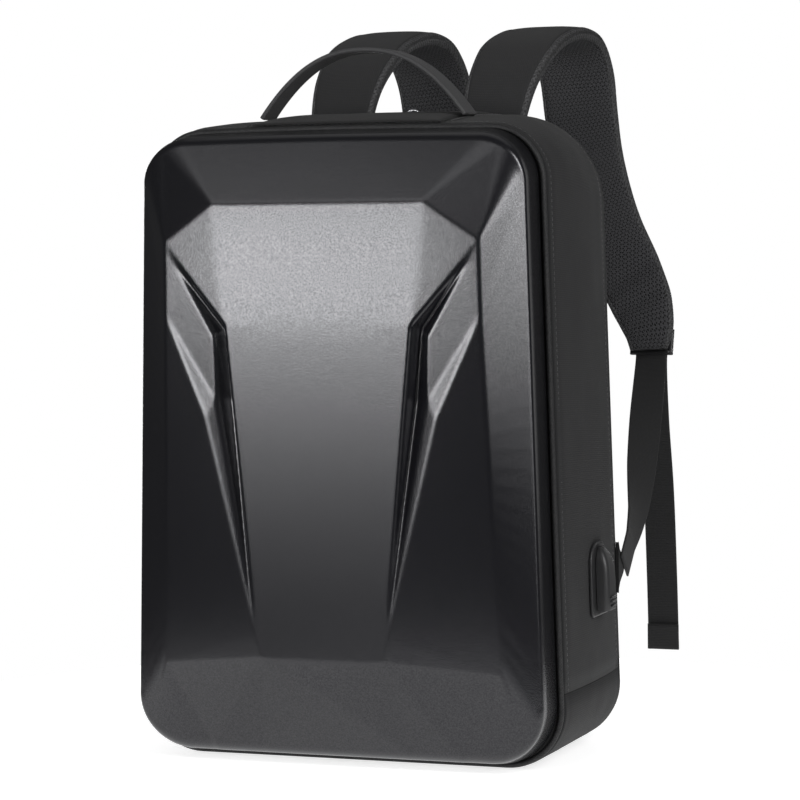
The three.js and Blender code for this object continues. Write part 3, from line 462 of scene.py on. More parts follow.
def outline(half_top, half_bottom, low, high, crown, radius, inset, steps=None):
    """The front view's outline from the middle of the bottom, anticlockwise with +X on the right."""
    corner, side, top, bottom = steps or (CORNER_STEPS, SIDE_STEPS, TOP_STEPS, BOTTOM_STEPS)
    top_r = radius - inset
    low_r = BOTTOM_RADIUS - inset
    top_x, top_z = half_top - inset - top_r, high - inset - top_r
    low_x, low_z = half_bottom - inset - low_r, low + inset + low_r
    right = [(low_x * i / (bottom // 2), low + inset) for i in range(bottom // 2)]
    for i in range(corner):
        turn = -math.pi / 2 * (1 - i / corner)
        right.append((low_x + low_r * math.cos(turn), low_z + low_r * math.sin(turn)))
    for i in range(side):
        t = i / side
        right.append((lerp(half_bottom - inset, half_top - inset, t), lerp(low_z, top_z, t)))
    for i in range(corner):
        turn = math.pi / 2 * i / corner
        right.append((top_x + top_r * math.cos(turn), top_z + top_r * math.sin(turn)))
    for i in range(top // 2):
        right.append((top_x * (1 - i / (top // 2)), high - inset))
    right.append((0.0, high - inset))
    crowned = []
    for x, z in right:
        upper = max(0.0, (z - top_z) / (high - inset - top_z))
        crowned.append((x, z + crown * upper * (1 - (x / half_top) ** 2)))
    return crowned + [(-x, z) for x, z in reversed(crowned[1:-1])]


def body_outline(y, inset, steps=None):
    share = (y - FRONT) / BODY_DEPTH
    bulge = SIDE_BULGE * 4 * share * (1 - share)
    radius = lerp(TOP_RADIUS_FRONT, TOP_RADIUS_BACK, share)
    high = BODY_HEIGHT + BODY_BACK_RISE * share
    points = outline(BODY_HALF_TOP, BODY_HALF_BOTTOM, 0.0, high, TOP_CROWN, radius, inset, steps)
    made = []
    for x, z in points:
        out = bulge * (1 - max(0.0, 1 - z / BOTTOM_RADIUS))
        made.append((x * (1 + out / BODY_HALF_BOTTOM), z * (1 + out / BODY_HEIGHT)))
    return made


def at_depth(points, y):
    return [Vector((x, y, z)) for x, z in points]


def loop_at(y, inset):
    return at_depth(body_outline(y, inset), y)


def body_ring(name, profile):
    """A ring round the body: each profile entry is (y, inset)."""
    loops = [loop_at(y, inset) for y, inset in profile]
    return loft(name, list(zip(*loops)), ring=True)


SIDE_START = BOTTOM_STEPS // 2 + CORNER_STEPS
SIDE_END = SIDE_START + SIDE_STEPS
TOP_START = SIDE_END + CORNER_STEPS
TOP_MIDDLE = TOP_START + TOP_STEPS // 2


def top_height(x, y):
    points = body_outline(y, 0.0)[SIDE_END:TOP_MIDDLE + 1]
    points.reverse()
    for (x0, z0), (x1, z1) in zip(points, points[1:]):
        if abs(x) <= x1 + 1e-9:
            return lerp(z0, z1, (abs(x) - x0) / (x1 - x0))
    return points[-1][1]


def side_width(y, z, inset=0.0):
    points = body_outline(y, inset)[SIDE_START:SIDE_END + 1]
    for (x0, z0), (x1, z1) in zip(points, points[1:]):
        if z <= z1:
            return lerp(x0, x1, (z - z0) / (z1 - z0))
    return points[-1][0]


# Stitches

STITCH_LENGTH = 3 * MM
STITCH_PITCH = 4.2 * MM
STITCH_WIDTH = 0.7 * MM
STITCH_FORM = ((-0.5, 0.25, -0.5), (-0.32, 0.9, 0.1), (0.0, 1.0, 0.35), (0.32, 0.9, 0.1), (0.5, 0.25, -0.5))


def sew(rows):
    """All the stitches as one piece: short flattened capsules, pulled down at both ends. Each row is a path of
    points and their outward directions."""
    verts, faces = [], []
    for points, ups in rows:
        for i, t in stations(points, STITCH_PITCH):
            centre = points[i].lerp(points[i + 1], t)
            along = (points[i + 1] - points[i]).normalized()
            up = ups[i].lerp(ups[i + 1], t)
            up = (up - along * up.dot(along)).normalized()
            rings = []
            for at, girth, height in STITCH_FORM:
                middle = centre + along * (at * STITCH_LENGTH) + up * (height * STITCH_WIDTH * 0.6)
                size = STITCH_WIDTH * girth
                rings.append(oval(middle, along.cross(up), up, size / 2, size * 0.35, 6))
            skin(rings, verts, faces)
    place(make("stitching", verts, faces), THREAD, "trim_fabric")


def drape_noise(p, size, seed):
    return noise.noise(Vector(p) / size + Vector((seed * 7.31, seed * 3.17, seed * 1.93)))


# Front shell: corners of its facets on the right half, [x, forward, up], as shares of the half width at that
# height, of the relief and of the height

FACET_CORNERS = {
    "A": (0.531, 0.95, 0.890),
    "B": (0.795, 0.892, 0.830),
    "S": (0.744, 0.9, 0.801),
    "E": (0.47, 0.992, 0.697),
    "F": (0.295, 1.0, 0.170),
    "G": (0.0, 0.935, 0.116),
    "H": (0.535, 0.917, 0.681),
    "T": (0.527, 0.908, 0.580),
    "U": (0.794, 0.88, 0.716),
    "V": (0.572, 0.958, 0.552),
    "W": (0.32, 1.0, 0.209),
    "K": (0.816, 0.71, 0.150),
    "P": (0.488, 0.77, 0.688),
    "Q": (0.46, 0.78, 0.580),
    "R": (0.392, 0.86, 0.407),
}
HALF_FACETS = ("ABSE", "BSHTU", "UTWV", "UVWFK", "SEP", "SPH", "EPQRW", "HPQT", "TQRW")
SHELL_HALF_TOP = BODY_HALF_TOP - SHELL_INSET
SHELL_HALF_BOTTOM = BODY_HALF_BOTTOM - SHELL_INSET
SHELL_LOW = SHELL_INSET
SHELL_HIGH = BODY_HEIGHT - SHELL_INSET


def shell_outline(y, inset, steps=None):
    radius = TOP_RADIUS_FRONT - SHELL_INSET
    points = outline(SHELL_HALF_TOP, SHELL_HALF_BOTTOM, SHELL_LOW, SHELL_HIGH, TOP_CROWN, radius, inset, steps)
    return at_depth(points, y)


def ladder(a, b):
    """Triangles between two chains of points that run side by side."""
    along, beside = ([mark / max(marks[-1], 1e-9) for mark in marks] for marks in (marks_of(a), marks_of(b)))
    triangles = []
    i = j = 0
    while i < len(a) - 1 or j < len(b) - 1:
        move = i < len(a) - 1
        if move and j < len(b) - 1:
            move = along[i] + along[i + 1] <= beside[j] + beside[j + 1]
        triangles.append([a[i], a[i + 1], b[j]] if move else [a[i], b[j], b[j + 1]])
        if move:
            i += 1
        else:
            j += 1
    return triangles


def shell_skin(inset, back, fine=False):
    """One skin of the shell: its edge loops from the rim forward, and its facets."""
    rim = FRONT - SHELL_RIM_SETBACK
    loops = [shell_outline(rim, inset)]
    for share in (0, 0.25, 0.5, 0.75, 1):
        turn = SHELL_EDGE_TURN * share
        step = SHELL_DRAFT + SHELL_EDGE_RADIUS * (1 - math.cos(turn))
        forward = SHELL_SIDE_WALL + SHELL_EDGE_RADIUS * math.sin(turn)
        loops.append(shell_outline(rim - forward + back, inset + step))
    inner = loops[-1]
    total = len(inner)

    def corner(name, side):
        return facet_corner(name, side, back)

    def stretch(first, last):
        return [inner[(first + i) % total] for i in range(last - first + 1)]

    start = SIDE_END + 9 * CORNER_STEPS // 16
    end = SIDE_END + 3 * CORNER_STEPS // 4
    lower = BOTTOM_STEPS // 2 + CORNER_STEPS // 2
    foot = BOTTOM_STEPS // 4
    polygons = []
    for side in (1, -1):
        def along(first, last):
            if side > 0:
                return stretch(first, last)
            return stretch(total - last, total - first)[::-1]
        for names in HALF_FACETS:
            polygons.append([corner(n, side) for n in names])
        polygons += ladder([corner("B", side), corner("A", side)], along(start, end))
        crest = [corner(n, side) for n in "KUB"]
        if fine:
            crest = [crest[0].lerp(crest[1], k / CREST_PARTS) for k in range(CREST_PARTS)] + crest[1:]
        polygons += ladder(crest, along(lower, start))
        polygons += ladder([corner(n, side) for n in "FK"], along(foot, lower))
        polygons.append([corner("F", side), corner("G", side), inner[(side * foot) % total]])
    polygons += ladder([corner("A", 1), corner("A", -1)], stretch(end, total - end))
    polygons += ladder([corner("G", 1)], stretch(-foot, foot))
    polygons.append([corner("A", 1), corner("E", 1), corner("E", -1), corner("A", -1)])
    middle = [("E", 1), ("W", 1), ("F", 1), ("F", -1), ("W", -1), ("E", -1)]
    polygons.append([corner(n, side) for n, side in middle])
    polygons.append([corner("F", 1), corner("G", 1), corner("F", -1)])
    return loops, polygons


# The shell's outer face is laid over a fine grid: its facets are read as heights over x and z, and their
# creases are rounded by blurring the heights, most along the soft creases

HEIGHT_CELL = 0.6 * MM
HEIGHT_MARGIN = 22 * MM
CREASE_BLUR = 0.9 * MM
SOFT_BLUR = 3.4 * MM
SOFT_REACH = 11 * MM
WAIST_BLUR = 9 * MM
WAIST_REACH = 26 * MM
SOFT_CREASES = (("A", "E", 0.12, 0.72),)
FACE_COLUMNS = ((0.27, 12), (0.61, 76), (0.12, 10))
FACE_ROWS = 290
EDGE_STEPS = 8
CREST_PARTS = 24


class Heights:
    """A square grid of y over x and z that reaches past the facets on all sides."""

    def __init__(self, loop, polygons):
        self.x0 = -SHELL_HALF_BOTTOM - HEIGHT_MARGIN
        self.z0 = SHELL_LOW - HEIGHT_MARGIN
        self.xs = np.arange(self.x0, SHELL_HALF_BOTTOM + HEIGHT_MARGIN, HEIGHT_CELL)
        self.zs = np.arange(self.z0, SHELL_HIGH + TOP_CROWN + HEIGHT_MARGIN, HEIGHT_CELL)
        self.y = np.full((len(self.zs), len(self.xs)), np.nan)
        numbers = {tuple(p): i for i, p in enumerate(loop)}
        total = len(loop)
        beyond = []
        for i, p in enumerate(loop):
            along = loop[(i + 1) % total] - loop[i - 1]
            beyond.append(p + Vector((along.z, 0, -along.x)).normalized() * HEIGHT_MARGIN)
        triangles = []
        for polygon in polygons:
            flat = [Vector((p.x, p.z, 0)) for p in polygon]
            triangles += [[polygon[i] for i in face] for face in tessellate_polygon([flat])]
        for triangle in triangles:
            for a, b in ((0, 1), (1, 2), (2, 0)):
                i, j = (numbers.get(tuple(triangle[k])) for k in (a, b))
                if i is not None and j is not None and (i - j) % total in (1, total - 1):
                    self.fill([loop[i], loop[j], beyond[j], beyond[i]], triangle)
        for triangle in triangles:
            self.fill(triangle, triangle)
        while np.isnan(self.y).any():
            moves = [np.roll(self.y, step, axis) for axis, step in ((0, 1), (0, -1), (1, 1), (1, -1))]
            for moved in moves:
                self.y = np.where(np.isnan(self.y), moved, self.y)

    def fill(self, region, plane):
        """Reads the plane through three points over a region."""
        a, b, c = plane
        normal = (b - a).cross(c - a)
        if abs(normal.y) < 1e-12:
            return
        spans = []
        for marks, axis in ((self.xs, 0), (self.zs, 2)):
            ends = [p[axis] for p in region]
            low, high = np.searchsorted(marks, (min(ends), max(ends)))
            spans.append(slice(max(0, low - 1), high + 1))
        x, z = np.meshgrid(self.xs[spans[0]], self.zs[spans[1]])
        edges = list(zip(region, region[1:] + region[:1]))
        turn = math.copysign(1, sum(p.x * q.z - q.x * p.z for p, q in edges))
        inside = np.ones(x.shape, bool)
        for p, q in edges:
            inside &= turn * ((q.x - p.x) * (z - p.z) - (q.z - p.z) * (x - p.x)) >= -1e-9
        y = a.y - (normal.x * (x - a.x) + normal.z * (z - a.z)) / normal.y
        self.y[spans[1], spans[0]][inside] = y[inside]

    def blurred(self, sigma):
        reach = int(3 * sigma / HEIGHT_CELL)
        weights = np.exp(-0.5 * (np.arange(-reach, reach + 1) * HEIGHT_CELL / sigma) ** 2)
        weights /= weights.sum()
        y = self.y
        for axis in (0, 1):
            wide = np.pad(y, [(reach, reach) if axis == n else (0, 0) for n in (0, 1)], mode="edge")
            size = y.shape[axis]
            y = sum(w * np.take(wide, range(k, k + size), axis) for k, w in enumerate(weights))
        return y

    def nearness(self, a, b, reach):
        """One on the line from a to b, falling to nothing at the given reach."""
        x, z = np.meshgrid(self.xs, self.zs)
        dx, dz = b.x - a.x, b.z - a.z
        t = np.clip(((x - a.x) * dx + (z - a.z) * dz) / (dx * dx + dz * dz), 0, 1)
        away = np.hypot(x - a.x - t * dx, z - a.z - t * dz)
        near = np.clip(1.25 * (1 - away / reach), 0, 1)
        return near * near * (3 - 2 * near)

    def at(self, x, z, values=None):
        values = self.y if values is None else values
        u = (np.asarray(x) - self.x0) / HEIGHT_CELL
        v = (np.asarray(z) - self.z0) / HEIGHT_CELL
        i = np.clip(u.astype(int), 0, len(self.xs) - 2)
        j = np.clip(v.astype(int), 0, len(self.zs) - 2)
        u, v = u - i, v - j
        low = values[j, i] * (1 - u) + values[j, i + 1] * u
        high = values[j + 1, i] * (1 - u) + values[j + 1, i + 1] * u
        return low * (1 - v) + high * v


def facet_corner(name, side=1, back=0.0):
    x, forward, up = FACET_CORNERS[name]
    half = lerp(SHELL_HALF_BOTTOM, SHELL_HALF_TOP, up)
    return Vector((side * x * half, FRONT - forward * SHELL_RELIEF + back, lerp(SHELL_LOW, SHELL_HIGH, up)))


def spread(points, shares):
    """Points at the given shares of a path's length."""
    steps = np.hypot(*np.diff(points, axis=0).T)
    marks = np.concatenate([[0], np.cumsum(steps)]) / steps.sum()
    return np.stack([np.interp(shares, marks, points[:, k]) for k in (0, 1)], axis=1)


def shell_face(heights):
    """The outer skin as a grid of points from the rim to the middle: the edge's loops, then the face's rows."""
    half = np.concatenate([[0]] + [np.full(count, span / count) for span, count in FACE_COLUMNS]).cumsum()
    columns = np.concatenate([-half[:0:-1], half]) / (2 * half[-1]) + 0.5
    rows = np.linspace(0, 1, FACE_ROWS + 1)
    steps = (64, 48, 48, 48)
    path = np.array([(p.x, p.z) for p in shell_outline(0.0, 0.0, steps)], float)
    total = len(path)
    lower = steps[3] // 2 + steps[0] // 2
    upper = steps[3] // 2 + steps[0] + steps[1] + steps[0] // 2
    turns = ((-lower, lower, columns), (lower, upper, rows), (upper, total - upper, columns),
             (total - upper, total - lower, rows))
    sides = []
    for first, last, shares in turns:
        stretch = path[np.arange(first, last + 1) % total]
        sides.append(spread(stretch, shares)[:-1])
    base = np.concatenate(sides)
    count = len(base)
    along = np.roll(base, -1, 0) - np.roll(base, 1, 0)
    along /= np.hypot(*along.T)[:, None]
    out = np.stack([along[:, 1], -along[:, 0]], axis=1)
    slope_z, slope_x = np.gradient(heights.y, HEIGHT_CELL)
    inside = base - out * (SHELL_DRAFT + 0.6 * SHELL_EDGE_RADIUS)
    tilt = np.arctan(np.hypot(heights.at(*inside.T, slope_x), heights.at(*inside.T, slope_z)))
    window = np.hanning(41)
    window /= window.sum()
    tilt = np.convolve(np.concatenate([tilt[-20:], tilt, tilt[:20]]), window, "valid")
    turn = math.pi / 2 - tilt
    radius = SHELL_SIDE_RADIUS + (SHELL_EDGE_RADIUS - SHELL_SIDE_RADIUS) * out[:, 1] ** 2
    inset = SHELL_DRAFT + radius * (1 - np.cos(turn))
    edge = base - out * inset[:, None]
    edge_y = heights.at(*edge.T)
    loops = [np.column_stack([base[:, 0], np.full(count, FRONT - SHELL_RIM_SETBACK), base[:, 1]])]
    for share in np.linspace(0, 1, EDGE_STEPS + 1):
        step = SHELL_DRAFT + radius * (1 - np.cos(turn * share))
        p = base - out * step[:, None]
        y = edge_y + radius * (np.sin(turn) - np.sin(turn * share))
        loops.append(np.column_stack([p[:, 0], y, p[:, 1]]))
    wide, tall = len(columns), len(rows)
    low = edge[np.arange(0, wide)]
    right = edge[np.arange(wide - 1, wide - 1 + tall)]
    high = edge[np.arange(wide + tall - 2, 2 * wide + tall - 2)][::-1]
    left = np.concatenate([edge[2 * wide + tall - 3:], edge[:1]])[::-1]
    u = columns[None, :, None]
    v = rows[:, None, None]
    grid = (1 - v) * low[None] + v * high[None] + (1 - u) * left[:, None] + u * right[:, None]
    grid = grid - (1 - u) * (1 - v) * low[0] - u * (1 - v) * low[-1] - (1 - u) * v * high[0] - u * v * high[-1]
    face = np.stack([grid[..., 0], heights.at(grid[..., 0], grid[..., 1]), grid[..., 1]], axis=-1)
    return loops, face, len(columns) // 2


def make_shell():
    loops, polygons = shell_skin(0.0, 0.0, fine=True)
    heights = Heights(loops[-1], polygons)
    soft = np.zeros(heights.y.shape)
    for a, b, start, end in SOFT_CREASES:
        for side in (1, -1):
            p, q = facet_corner(a, side), facet_corner(b, side)
            soft = np.maximum(soft, heights.nearness(p.lerp(q, start), p.lerp(q, end), SOFT_REACH))
    p, q = facet_corner("E", 1), facet_corner("E", -1)
    waist = heights.nearness(p.lerp(q, 0.27), p.lerp(q, 0.73), WAIST_REACH)
    smooth = heights.blurred(CREASE_BLUR)
    smooth = smooth * (1 - soft) + heights.blurred(SOFT_BLUR) * soft
    heights.y = smooth * (1 - waist) + heights.blurred(WAIST_BLUR) * waist
    outer, face, middle = shell_face(heights)
    verts = [Vector(p) for loop in outer for p in loop]
    faces = []
    count = len(outer[0])

    def ring(a, b):
        for j in range(count):
            k = (j + 1) % count
            faces.append((a + j, a + k, b + k, b + j))

    for n in range(len(outer) - 1):
        ring(n * count, (n + 1) * count)
    tall, wide = face.shape[:2]
    edge = (len(outer) - 1) * count
    index = np.empty((tall, wide), int)
    index[0] = edge + np.arange(wide)
    index[:, -1] = edge + np.arange(wide - 1, wide - 1 + tall)
    index[-1] = (edge + np.arange(wide + tall - 2, 2 * wide + tall - 2))[::-1]
    index[1:-1, 0] = (edge + np.arange(2 * wide + tall - 2, count))[::-1]
    first = len(verts)
    index[1:-1, 1:-1] = first + np.arange((tall - 2) * (wide - 2)).reshape(tall - 2, wide - 2)
    verts += [Vector(p) for p in face[1:-1, 1:-1].reshape(-1, 3)]
    for row, above in zip(index.tolist(), index[1:].tolist()):
        for j in range(wide - 1):
            faces.append((row[j], row[j + 1], above[j + 1], above[j]))
    along = outer[0] - np.roll(outer[0], 1, 0)
    along = np.roll(along, -1, 0) + along
    out = np.column_stack([along[:, 2], np.zeros(count), -along[:, 0]])
    out /= np.hypot(out[:, 0], out[:, 2])[:, None]
    last = 0
    for inset, forward in ((SHELL_RIM_WALL + SHELL_HEM, 0), (SHELL_RIM_WALL + SHELL_HEM, SHELL_RIM_WALL),
                           (SHELL_RIM_WALL, SHELL_RIM_WALL)):
        start = len(verts)
        verts += [Vector(p) for p in outer[0] - out * inset - np.array((0, forward, 0))]
        ring(last, start)
        last = start
    inner, inner_polygons = shell_skin(SHELL_RIM_WALL, SHELL_WALL)
    known = {}

    def vert(p):
        key = (round(p.x, 6), round(p.y, 6), round(p.z, 6))
        if key not in known:
            known[key] = len(verts)
            verts.append(p)
        return known[key]

    hem = [verts[last + (middle + j) % count] for j in range(count + 1)]
    for j in range(count):
        known[tuple(round(c, 6) for c in hem[j])] = last + (middle + j) % count
    for triangle in ladder(hem, inner[1] + inner[1][:1]):
        faces.append(tuple(vert(p) for p in triangle))
    for a, b in zip(inner[1:], inner[2:]):
        for j in range(len(a)):
            k = (j + 1) % len(a)
            faces.append(tuple(vert(p) for p in (a[j], a[k], b[k], b[j])))
    for polygon in inner_polygons:
        flat = [Vector((p.x, p.z, 0)) for p in polygon]
        for triangle in tessellate_polygon([flat]):
            faces.append(tuple(vert(polygon[i]) for i in triangle))
    place(make("shell", verts, faces), SHELL, "shell", "front_shell")


make_shell()


# Zip and piping. A tooth is [out, half width across the tape, half width along it] at three levels

ZIP_PITCH = 1.6 * MM
TOOTH = ((-0.4, 1.15, 0.55), (0.25, 1.15, 0.55), (0.7, 0.8625, 0.35))


def make_zip():
    front = FRONT - SHELL_RIM_SETBACK + 0.3 * MM
    back = FRONT - 0.3 * MM
    flange = 2 * PIPING_RADIUS + 0.6 * MM
    tape = body_ring("zip_tape", [
        (front, ZIP_INSET), (front + 0.9 * MM, ZIP_INSET + 0.25 * MM),
        (FRONT - 4.6 * MM, ZIP_INSET + 0.25 * MM), (back - 2.2 * MM, ZIP_INSET), (back - 2.2 * MM, flange),
        (back, flange), (back, ZIP_INSET + 2.2 * MM), (front, ZIP_INSET + 2.2 * MM),
    ])
    place(tape, ZIP_TAPE, "zip_tape", "zip_band")
    path = loop_at(FRONT, ZIP_INSET)
    path.append(path[0])
    verts, faces = [], []
    for n, (i, t) in enumerate(stations(path, ZIP_PITCH)):
        along = (path[i + 1] - path[i]).normalized()
        out = Vector((along.z, 0, -along.x))
        centre = path[i].lerp(path[i + 1], t) + out * 0.15 * MM
        centre.y = FRONT - 5.9 * MM + (0.55 * MM if n % 2 else -0.55 * MM)
        rows = []
        for up, half, wide in TOOTH:
            corners = ((-wide, -half), (wide, -half), (wide, half), (-wide, half))
            rows.append([centre + (along * a + out * up + Vector((0, b, 0))) * MM for a, b in corners])
        skin(rows, verts, faces)
    place(make("zip_teeth", verts, faces, smooth=False), ZIP_COIL, "zip_tape")


def make_piping():
    profile = []
    for k in range(12):
        turn = 2 * math.pi * k / 12
        y = FRONT - PIPING_RADIUS - 0.3 * MM + PIPING_RADIUS * math.cos(turn)
        profile.append((y, 0.3 * MM + PIPING_RADIUS * (1 + math.sin(turn))))
    place(body_ring("piping", profile), PIPING, "piping", "front_piping")


make_zip()
make_piping()


# Fabric walls and base


WALL_STEPS = (20, 48, 112, 24)
ROLL_DEPTH = 9 * MM
ROLL_DROP = 4.2 * MM
TOP_SEAM = 77 * MM
PANEL_ROUNDING = 2.4 * MM
PANEL_DEPTHS = 34


def wall_path(y, above, inset=0.0, steps=None):
    """The walls' outline at a depth: over the top from the seam on the right to the seam on the left, or
    round the base from the seam on the left to the seam on the right."""
    points = body_outline(y, inset, steps)
    half = len(points) // 2
    seam = BASE_SEAM_HEIGHT
    side_start = steps[3] // 2 + steps[0] if steps else SIDE_START
    edge = side_width(y, seam, inset)
    if above:
        right = [(edge, seam + 0.2 * MM)] + [p for p in points[side_start:half] if p[1] > seam + 6 * MM]
        return right + [points[half]] + [(-x, z) for x, z in reversed(right)]
    right = [p for p in points[:side_start + 1] if p[1] < seam - 4 * MM] + [(edge, seam - 0.2 * MM)]
    return [(-x, z) for x, z in reversed(right[1:])] + right


def outward(path, i):
    """The direction out of an open path of (x, z) at one of its points."""
    before, after = path[max(0, i - 1)], path[min(len(path) - 1, i + 1)]
    return Vector((after[1] - before[1], 0, before[0] - after[0])).normalized()


def dip_at(away, width):
    return math.exp(-(away / width) ** 2)


def fabric_panel(name, above):
    """A fabric wall that swells and puckers a little, with its edges rolled over the front and the back."""
    edge = [(PANEL_ROUNDING * (1 - math.cos(t)), PANEL_ROUNDING * (1 - math.sin(t)))
            for t in (0, math.pi / 6, math.pi / 3)]
    depths = [(FRONT + into, inset) for into, inset in edge]
    for i in range(PANEL_DEPTHS + 1):
        depths.append((lerp(FRONT + PANEL_ROUNDING, BACK - PANEL_ROUNDING, i / PANEL_DEPTHS), 0.0))
    depths += [(BACK - into, inset) for into, inset in reversed(edge)]
    outer = [wall_path(y, above, inset, WALL_STEPS) for y, inset in depths]
    lining = [FRONT + BODY_DEPTH * share for share in (1, 0.75, 0.5, 0.25, 0)]
    inner = [wall_path(y, above, WALL_THICKNESS, WALL_STEPS) for y in lining]
    rows = []
    for i in range(len(outer[0])):
        row = []
        for (y, _), path in zip(depths, outer):
            x, z = path[i]
            out = outward(path, i)
            p = Vector((x, y, z))
            if z >= 8 * MM:
                fade = max(0.0, min(1.0, (y - FRONT) / (14 * MM), (BACK - y) / (14 * MM)))
                seam = min(1.0, abs(z - BASE_SEAM_HEIGHT) / (14 * MM))
                swell = 0.9 * MM * drape_noise(p, 0.075, 3) + 0.35 * MM * drape_noise(p, 0.022, 5)
                swell *= fade * (0.35 + 0.65 * seam)
                for end in (FRONT, BACK):
                    swell -= 0.55 * MM * dip_at(abs(y - end) - 7 * MM, 2.2 * MM)
                swell -= 0.8 * MM * dip_at(z - BASE_SEAM_HEIGHT, 1.6 * MM)
                if out.z > 0.3:
                    ease = min(1.0, (out.z - 0.3) / 0.5)
                    into = min(1.0, max(0.0, y - FRONT) / ROLL_DEPTH)
                    swell -= ease * ROLL_DROP * (1 - math.sqrt(1 - (1 - into) ** 2))
                    swell -= ease * 1.3 * MM * dip_at(abs(x) - TOP_SEAM, 1.5 * MM)
                p += out * swell
            row.append(p)
        row += [Vector((path[i][0], y, path[i][1])) for y, path in zip(lining, inner)]
        rows.append(row)
    return loft(name, rows)


place(fabric_panel("side_walls", True), BODY_CLOTH, "body_fabric", "body_walls")
place(fabric_panel("base_wrap", False), BODY_CLOTH, "body_fabric", "base_panel")


# Padded back


def make_back_plate():
    soft = 2 * MM
    profile = (
        (PLATE_FRONT, soft), (PLATE_FRONT + 0.4 * soft, 0.3 * soft), (PLATE_FRONT + soft, 0.0),
        (PLATE_REAR - soft, 0.0), (PLATE_REAR - 0.4 * soft, 0.3 * soft), (PLATE_REAR, soft),
        (PLATE_REAR - 0.5 * MM, soft + 5 * MM), (PLATE_REAR, soft + 8 * MM), (PLATE_REAR, soft + 30 * MM),
        (PLATE_REAR, soft + 42 * MM),
    )
    most = BOTTOM_RADIUS - 0.5 * MM
    loops = [at_depth(body_outline(BACK, min(inset + PLATE_INSET, most)), y) for y, inset in profile]
    place(loft("back_panel", loops), BODY_CLOTH, "body_fabric", "back_plate")


def pad_height(x, z, u, w):
    """How far the pad stands out before it swells, thinner along the air channel and the cross seams."""
    crown = PAD_CROWN * math.sqrt(max(0.0, (1 - u ** 6) * (1 - w ** 6)))
    channel = max(0.0, 1 - (x / (18 * MM)) ** 2)
    seam = max(dip_at(z - level, 5 * MM) for level in PAD_SEAMS)
    return max(1.6 * MM, crown - 2 * MM - 6 * MM * channel - 4 * MM * seam * (1 - channel))


def make_back_pad():
    across, up = 44, 60
    y0 = PLATE_REAR + 0.3 * MM
    middle = (PAD_LOW + PAD_HIGH) / 2
    half = (PAD_HIGH - PAD_LOW) / 2
    under, over = [], []
    for j in range(up + 1):
        w = math.sin(math.pi / 2 * (-1 + 2 * j / up))
        for i in range(across + 1):
            u = math.sin(math.pi / 2 * (-1 + 2 * i / across))
            pull = (1 - math.sqrt(0.5)) * PAD_CORNER * abs(w) ** 6 * abs(u) ** 6
            x, z = u * (PAD_HALF_WIDTH - pull), middle + w * (half - pull)
            under.append((x, y0, z))
            over.append((x, y0 + pad_height(u * PAD_HALF_WIDTH, middle + w * half, u, w), z))
    row = across + 1
    layer = len(under)
    faces = []
    for a in (j * row + i for j in range(up) for i in range(across)):
        faces.append((a, a + 1, a + row + 1, a + row))
        faces.append((layer + a, layer + a + row, layer + a + row + 1, layer + a + 1))
    rim = [i for i in range(row)] + [j * row + across for j in range(1, up + 1)]
    rim += [up * row + i for i in range(across - 1, -1, -1)] + [j * row for j in range(up - 1, 0, -1)]
    for a, b in zip(rim, rim[1:] + rim[:1]):
        faces.append((a, layer + a, layer + b, b))
    pad = make("back_cushion", under + over, faces)

    def hold(spot):
        """Sewn down at the back, round the edge and along the air channel and the two cross seams."""
        x, z = abs(spot.x), spot.z
        edge = max(x / PAD_HALF_WIDTH, abs(z - middle) / half)
        seam = min(abs(z - level) for level in PAD_SEAMS)
        sewn = spot.y < y0 + 1.4 * MM or edge > 0.955 or x < 9 * MM or seam < 3 * MM
        return 1.0 if sewn else 0.0

    inflate(pad, PAD_PRESSURE, PAD_SWELL, hold)
    smoothing = pad.modifiers.new("round", "SUBSURF")
    smoothing.levels = smoothing.render_levels = 1
    weave = pad.data.uv_layers.new(name="weave")
    for loop in pad.data.loops:
        spot = pad.data.vertices[loop.vertex_index].co
        weave.data[loop.index].uv = (spot.x, spot.z)
    shade(pad.data)
    place(pad, AIR_MESH, "air_mesh", "back_pad")


make_back_plate()
make_back_pad()


# Top panel and handle


def make_top():
    steps_x, steps_y = 40, 18
    rows = []
    for i in range(steps_x + 1):
        x = TOP_PANEL_HALF * (-1 + 2 * i / steps_x)
        under, over = [], []
        for j in range(steps_y + 1):
            share = 0.5 - 0.5 * math.cos(math.pi * j / steps_y)
            y = FRONT + 3.2 * MM + TOP_PANEL_DEPTH * share
            z = top_height(x, y) + 0.3 * MM
            side = max(0.0, 1 - abs(x / TOP_PANEL_HALF) ** 10)
            pad = 3 * MM * (0.35 + 0.65 * (4 * share * (1 - share)) ** 0.35 * side ** 0.5)
            pad += 0.25 * MM * drape_noise((x, y, 0), 0.03, 11) * side
            under.append(Vector((x, y, z)))
            over.append(Vector((x, y, z + pad)))
        rows.append(under + over[::-1])
    panel = loft("top_strip", rows)
    place(panel, TRIM_CLOTH, "trim_fabric", "top_panel")


def axes(path, i, across=RIGHT, turn=0.0):
    """The directions across and out of a path at one of its points, turned about the path by degrees."""
    along = (path[min(len(path) - 1, i + 1)] - path[max(0, i - 1)]).normalized()
    across = Matrix.Rotation(math.radians(turn), 3, along) @ across
    across = (across - along * across.dot(along)).normalized()
    return across, along.cross(across)


